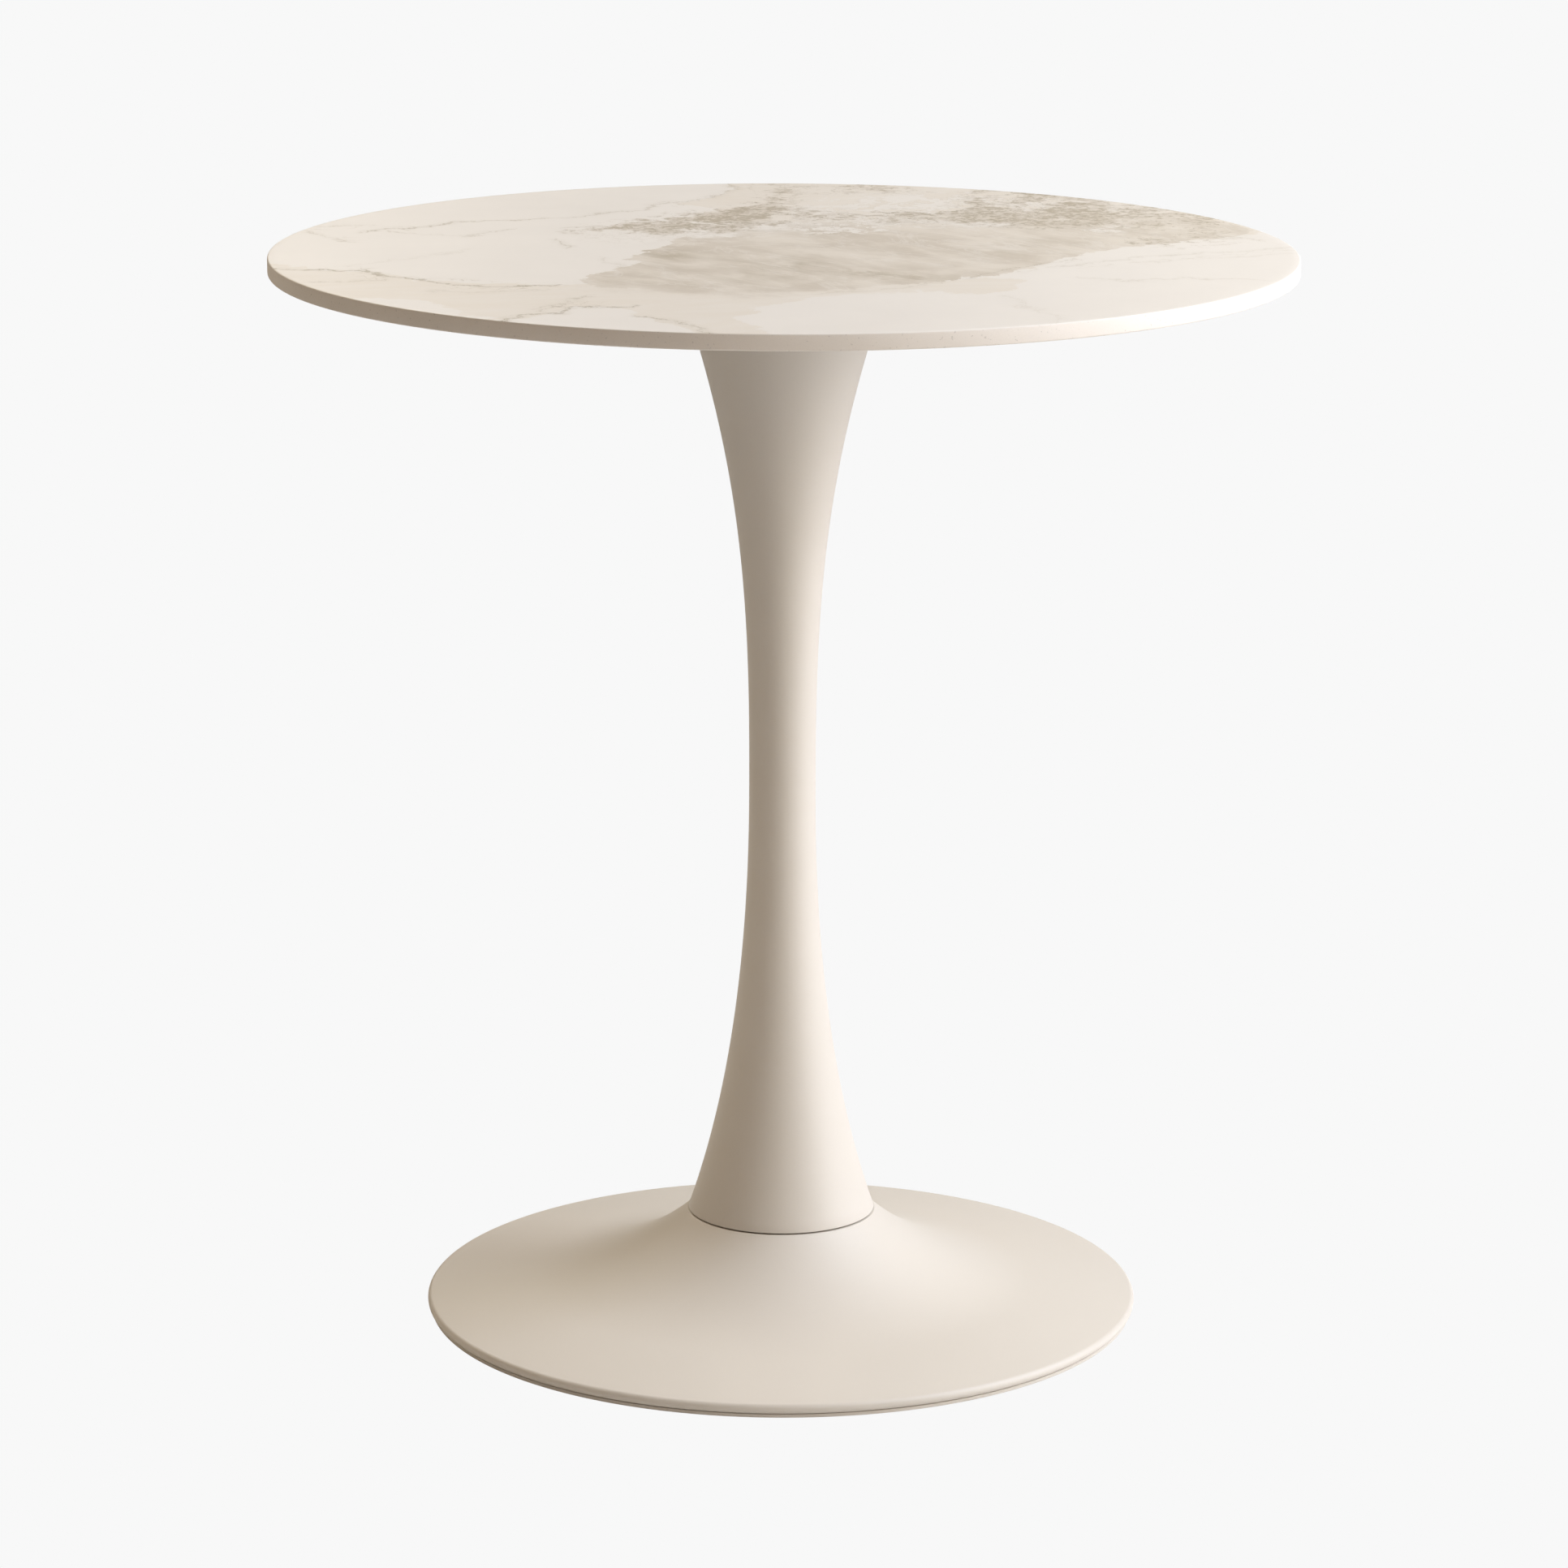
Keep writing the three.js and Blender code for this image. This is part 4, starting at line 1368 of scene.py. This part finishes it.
@dataclass
class FlatScrew(Screw):
    """A countersunk screw, whose flat head lies at one end of its box."""

    hanging: bool = False
    land: float = 0.3 * MM
    head_height: float = 4.3 * MM
    head_radius: float = 7.5 * MM
    shank_radius: float = 3.85 * MM
    socket_radius: float = 2.9 * MM
    socket_depth: float = 3.0 * MM

    def build(self, dresser: Dresser) -> None:
        """Build and dress the screw.

        Args:
            dresser: The finishes.
        """
        low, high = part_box(self.node)
        length = high.z - low.z
        outline = [(0, 0), (self.head_radius, 0), (self.head_radius, self.land),
                   (self.shank_radius, self.head_height),
                   *self.thread(self.shank_radius, self.head_height, length),
                   (self.shank_radius - self.thread_depth, length), (0, length)]
        screw = Solid().turn(outline, self.segments, closed=False)
        screw.sink(self.socket_sides, self.socket_radius, 0.0, self.socket_depth)
        upright = Matrix.Translation((0, 0, low.z))
        if self.hanging:
            upright = Matrix.Translation((0, 0, high.z)) @ Matrix.Rotation(math.pi, 4, "X")
        bmesh.ops.transform(screw.mesh, matrix=upright, verts=screw.mesh.verts)
        name = f"{self.node}_countersunk"
        dresser.add(screw.move(middle_of(self.node)), name, self.node, Slot.ZINC_STEEL)


@dataclass
class Base:
    """The spun dish with its rolled rim, the plate under it and the plate's screws."""

    wall: float = 2.0 * MM
    neck_radius: float = 66.0 * MM
    neck_slope: float = 42.0
    skirt_slope: float = 6.8
    rim_radius: float = 3.5 * MM
    rim_lip: float = 4.0 * MM
    opening_radius: float = 44.0 * MM
    neck_round: float = 1.2 * MM
    segments: int = 240
    sweep_steps: int = 40
    rim_steps: int = 14
    bead_steps: int = 8
    neck_steps: int = 4
    access_segments: int = 96
    hole_segments: int = 40
    recess_radius: float = 16.0 * MM
    screw_hole: float = 5.2 * MM
    access_radius: float = 35.0 * MM
    plate_round: float = 0.5 * MM
    round_steps: int = 3
    rounded_over: float = 60
    screw_count: int = 4
    glide_count: int = 4

    def build(self, dresser: Dresser) -> None:
        """Build and dress the base.

        Args:
            dresser: The finishes.
        """
        dresser.add(self.dish(), "base_dish", "base_cover", Slot.POWDER_COAT)
        dresser.add(self.plate(), "underside_plate", "base_plate", Slot.POWDER_COAT)
        for name in numbered("plate_screw", self.screw_count):
            FlatScrew(name, pitch=0.8 * MM, thread_depth=0.4 * MM, head_height=2.2 * MM,
                      head_radius=4.6 * MM, shank_radius=2.4 * MM, socket_radius=1.7 * MM,
                      socket_depth=1.5 * MM).build(dresser)

    def dish(self) -> Solid:
        """Build the dish from its neck, its sweep, its skirt and its rim.

        Returns:
            The dish.
        """
        low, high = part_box("base_cover")
        neck, skirt = math.radians(self.neck_slope), math.radians(self.skirt_slope)
        rim = (high.x - self.rim_radius, low.z + self.rim_radius)
        skirt_end = (rim[0] + self.rim_radius * math.sin(skirt),
                     rim[1] + self.rim_radius * math.cos(skirt))
        run = math.sin(neck) - math.sin(skirt)
        drop = math.cos(skirt) - math.cos(neck)
        spare = high.z - skirt_end[1] - math.tan(skirt) * (skirt_end[0] - self.neck_radius)
        radius = spare / (drop - math.tan(skirt) * run)
        centre = (self.neck_radius + radius * math.sin(neck), high.z + radius * math.cos(neck))
        inner = radius + self.wall
        flange = high.z - self.wall
        inner_start = math.degrees(math.acos((centre[1] - flange) / inner))
        bead = self.rim_radius - self.wall
        lip = rim[0] - self.rim_lip
        outline = [
            (self.opening_radius, high.z),
            *self.neck_corner(high.z),
            *arc(centre, radius, -90 - self.neck_slope, -90 - self.skirt_slope, self.sweep_steps)[1:],
            *arc(rim, self.rim_radius, 90 - self.skirt_slope, -90, self.rim_steps),
            (lip, low.z), (lip, low.z + self.wall),
            *arc(rim, bead, -90, 90 - self.skirt_slope, self.bead_steps),
            *arc(centre, inner, -90 - self.skirt_slope, -90 - inner_start, self.sweep_steps),
            (self.opening_radius, flange),
        ]
        return Solid().turn(outline, self.segments)

    def neck_corner(self, height: float) -> list[Point]:
        """Return the small round where the flat top turns down into the neck.

        Args:
            height: The height of the flat top.

        Returns:
            Points of radius and height.
        """
        slope = math.radians(self.neck_slope)
        setback = self.neck_round * math.tan(slope / 2)
        centre = (self.neck_radius - setback, height - self.neck_round)
        return arc(centre, self.neck_round, 90, 90 - self.neck_slope, self.neck_steps)

    def plate(self) -> Solid:
        """Build the plate with its access hole, glide recesses and screw holes.

        Returns:
            The plate.
        """
        low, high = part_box("base_plate")
        plate = Solid()
        loops = [plate.circle(high.x, self.segments, (0, 0), low.z),
                 plate.circle(self.access_radius, self.access_segments, (0, 0), low.z)]
        loops += [plate.circle(self.recess_radius, self.hole_segments, middle_of(name), low.z)
                  for name in numbered("glide_pad", self.glide_count)]
        loops += [plate.circle(self.screw_hole, self.hole_segments, middle_of(name), low.z)
                  for name in numbered("plate_screw", self.screw_count)]
        plate.plate(loops, high.z - low.z)
        return plate.soften(self.plate_round, self.round_steps, self.rounded_over)


@dataclass
class Glides:
    """The four levelling glides: a nylon pad on the floor and a threaded steel stud in it."""

    count: int = 4
    segments: int = 48
    pad_round: float = 0.9 * MM
    round_steps: int = 5
    key_radius: float = 3.5 * MM
    pocket_radius: float = 7.3 * MM
    mouth_radius: float = 4.6 * MM
    pad_floor: float = 1.2 * MM
    pocket_top: float = 3.4 * MM
    head_radius: float = 7.0 * MM
    head_thickness: float = 1.6 * MM
    shank_radius: float = 3.9 * MM
    thread_pitch: float = 1.25 * MM
    thread_depth: float = 0.7 * MM
    plain_length: float = 1.0 * MM
    tip_bevel: float = 0.9 * MM
    socket_radius: float = 2.9 * MM
    socket_depth: float = 4.6 * MM

    def build(self, dresser: Dresser) -> None:
        """Build and dress the glides.

        Args:
            dresser: The finishes.
        """
        for pad, stud in zip(numbered("glide_pad", self.count), numbered("glide_stud", self.count)):
            dresser.add(self.pad(pad), f"{pad}_disc", pad, Slot.NYLON, body=pad)
            dresser.add(self.stud(stud), f"{stud}_screw", stud, Slot.ZINC_STEEL, body=stud)

    def pad(self, node: str) -> Solid:
        """Build a pad: a round-edged disc with a pocket for the stud's head.

        Args:
            node: The pad's node.

        Returns:
            The pad.
        """
        low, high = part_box(node)
        outer, rounding = (high.x - low.x) / 2, self.pad_round
        outline = [
            (self.key_radius, low.z),
            *arc((outer - rounding, low.z + rounding), rounding, -90, 0, self.round_steps),
            *arc((outer - rounding, high.z - rounding), rounding, 0, 90, self.round_steps),
            (self.mouth_radius, high.z), (self.mouth_radius, self.pocket_top),
            (self.pocket_radius, self.pocket_top), (self.pocket_radius, self.pad_floor),
            (self.key_radius, self.pad_floor),
        ]
        return Solid().turn(outline, self.segments).move(middle_of(node))

    def stud(self, node: str) -> Solid:
        """Build a stud: a flat head with a socket and a threaded shank.

        Args:
            node: The stud's node.

        Returns:
            The stud.
        """
        low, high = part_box(node)
        shoulder = low.z + self.head_thickness
        screw = Screw(node, pitch=self.thread_pitch, thread_depth=self.thread_depth)
        outline = [(0, low.z), (self.head_radius, low.z), (self.head_radius, shoulder),
                   (self.shank_radius, shoulder),
                   *screw.thread(self.shank_radius, shoulder + self.plain_length, high.z),
                   (self.shank_radius - self.tip_bevel, high.z), (0, high.z)]
        stud = Solid().turn(outline, self.segments, closed=False)
        stud.sink(screw.socket_sides, self.socket_radius, low.z, self.socket_depth)
        return stud.move(middle_of(node))


@dataclass
class Ironwork:
    """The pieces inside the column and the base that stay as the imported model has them."""

    hub_bolt_count: int = 4

    def build(self, dresser: Dresser) -> None:
        """Dress the hidden pieces.

        Args:
            dresser: The finishes.
        """
        finishes = {
            Slot.STEEL: ["column_head", "column_foot", "base_hub", "locating_pin"],
            Slot.ZINC_STEEL: ["tie_rod", "tie_washer", "spring_washer", "tie_nut",
                              *numbered("hub_bolt", self.hub_bolt_count)],
            Slot.BALLAST_IRON: ["ballast_disc"],
        }
        for slot, nodes in finishes.items():
            for node in nodes:
                dresser.dress_node(node, slot)
            log.info("%s: %s", slot.value, ", ".join(nodes))


# ------------------------------------------------------------------ studio


@dataclass(frozen=True)
class Lamp:
    """A soft rectangular light that faces the table, with its colour in watts."""

    name: str
    azimuth: float
    elevation: float
    colour: Colour
    width: float = 2.4
    height: float = 2.0
    distance: float = 3.2
    aim_height: float = 0.4

    def hang(self) -> bpy.types.Object:
        """Hang the light.

        Returns:
            The light.
        """
        strength = max(self.colour)
        data = bpy.data.lights.new(self.name, "AREA")
        data.shape = "RECTANGLE"
        data.size, data.size_y = self.width, self.height
        data.energy = strength
        data.color = tuple(share / strength for share in self.colour)
        lamp = bpy.data.objects.new(self.name, data)
        bpy.context.scene.collection.objects.link(lamp)
        azimuth, elevation = math.radians(self.azimuth), math.radians(self.elevation)
        towards = Vector((math.sin(azimuth) * math.cos(elevation),
                          -math.cos(azimuth) * math.cos(elevation), math.sin(elevation)))
        aim = Vector((0, 0, self.aim_height))
        lamp.location = aim + towards * self.distance
        lamp.rotation_euler = (-towards).to_track_quat("-Z", "Y").to_euler()
        lamp.visible_camera = False
        return lamp


@dataclass
class Studio:
    """The pale floor and surround, the soft lights and the camera."""

    backdrop: Colour = linear("f8f8f8")
    ambient: Colour = (0.045, 0.038, 0.032)
    floor_colour: Colour = linear("e9e6e2")
    floor_roughness: float = 0.9
    floor_radius: float = 8.0
    floor_segments: int = 96
    floor_drop: float = 0.1 * MM
    lens: float = 133.54
    sensor: float = 36.0
    camera_place: tuple[float, float, float] = (0.0, -3.9275, 1.3245)
    camera_tilt: float = 76.308
    camera_roll: float = 0.172
    shift: Point = (0.00104, 0.00951)
    lamps: tuple[Lamp, ...] = (
        Lamp("key_right", 72, 19, (53, 53, 50), width=1.3, height=1.9),
        Lamp("key_edge", 95, 19, (28, 28, 34), width=1.3, height=1.9),
        Lamp("high_right", 90, 48, (56, 64, 74), width=2.6),
        Lamp("back_right", 152, 35, (15, 13, 9)),
        Lamp("back_left", -150, 35, (32, 30, 26)),
        Lamp("high_left", -100, 40, (19, 15, 10)),
        Lamp("front_soft", 18, 36, (20, 16, 12)),
    )

    def build(self) -> None:
        """Set up the whole studio."""
        self.build_camera()
        self.build_world()
        self.build_floor()
        for lamp in self.lamps:
            lamp.hang()
        bpy.context.scene.view_settings.view_transform = "Standard"
        log.info("studio: %d lights", len(self.lamps))

    def build_camera(self) -> None:
        """Stand the camera in front of the table, looking a little down."""
        data = bpy.data.cameras.new("camera")
        data.lens, data.sensor_width = self.lens, self.sensor
        data.shift_x, data.shift_y = self.shift
        camera = bpy.data.objects.new("camera", data)
        bpy.context.scene.collection.objects.link(camera)
        tilt = Matrix.Rotation(math.radians(self.camera_tilt), 4, "X")
        roll = Matrix.Rotation(math.radians(self.camera_roll), 4, "Z")
        camera.matrix_world = Matrix.Translation(self.camera_place) @ tilt @ roll
        bpy.context.scene.camera = camera

    def build_world(self) -> None:
        """Surround the table with an even pale backdrop and a soft warm fill."""
        world = bpy.data.worlds.new("surround")
        world.use_nodes = True
        bpy.context.scene.world = world
        nodes = Nodes(world.node_tree)
        seen = nodes.node("ShaderNodeLightPath").outputs["Is Camera Ray"]
        colour = nodes.mix(self.ambient, self.backdrop, seen)
        background = nodes.node("ShaderNodeBackground", {}, {"Color": colour})
        nodes.node("ShaderNodeOutputWorld", {}, {"Surface": background.outputs["Background"]})

    def build_floor(self) -> None:
        """Lay a wide round floor that reads as the same even tone as the backdrop."""
        solid = bmesh.new()
        bmesh.ops.create_circle(solid, cap_ends=True, radius=self.floor_radius,
                              segments=self.floor_segments)
        bmesh.ops.translate(solid, verts=solid.verts, vec=(0, 0, -self.floor_drop))
        data = bpy.data.meshes.new("floor")
        solid.to_mesh(data)
        solid.free()
        floor = bpy.data.objects.new("floor", data)
        bpy.context.scene.collection.objects.link(floor)
        data.materials.append(self.floor_material())

    def floor_material(self) -> bpy.types.Material:
        """Build the floor's finish.

        Returns:
            The material.
        """
        shader = Shader("studio_floor")
        shader.finish(Base_Color=self.floor_colour, Roughness=self.floor_roughness)
        glow = shader.node("ShaderNodeEmission", {}, {"Color": self.backdrop, "Strength": 1.0})
        seen = shader.node("ShaderNodeLightPath").outputs["Is Camera Ray"]
        inputs = {0: seen, 1: shader.surface.outputs["BSDF"], 2: glow.outputs["Emission"]}
        blend = shader.node("ShaderNodeMixShader", {}, inputs)
        shader.feed(shader.output.inputs["Surface"], blend.outputs["Shader"])
        return shader.material


def main() -> None:
    """Build the table and the studio."""
    logging.basicConfig(level=logging.INFO, format="%(name)s: %(message)s")
    Studio().build()
    dresser = Dresser()
    for part in (StoneTop(), TopPlate(), Column(), Base(), Glides(), Ironwork()):
        part.build(dresser)


if __name__ == "__main__":
    main()
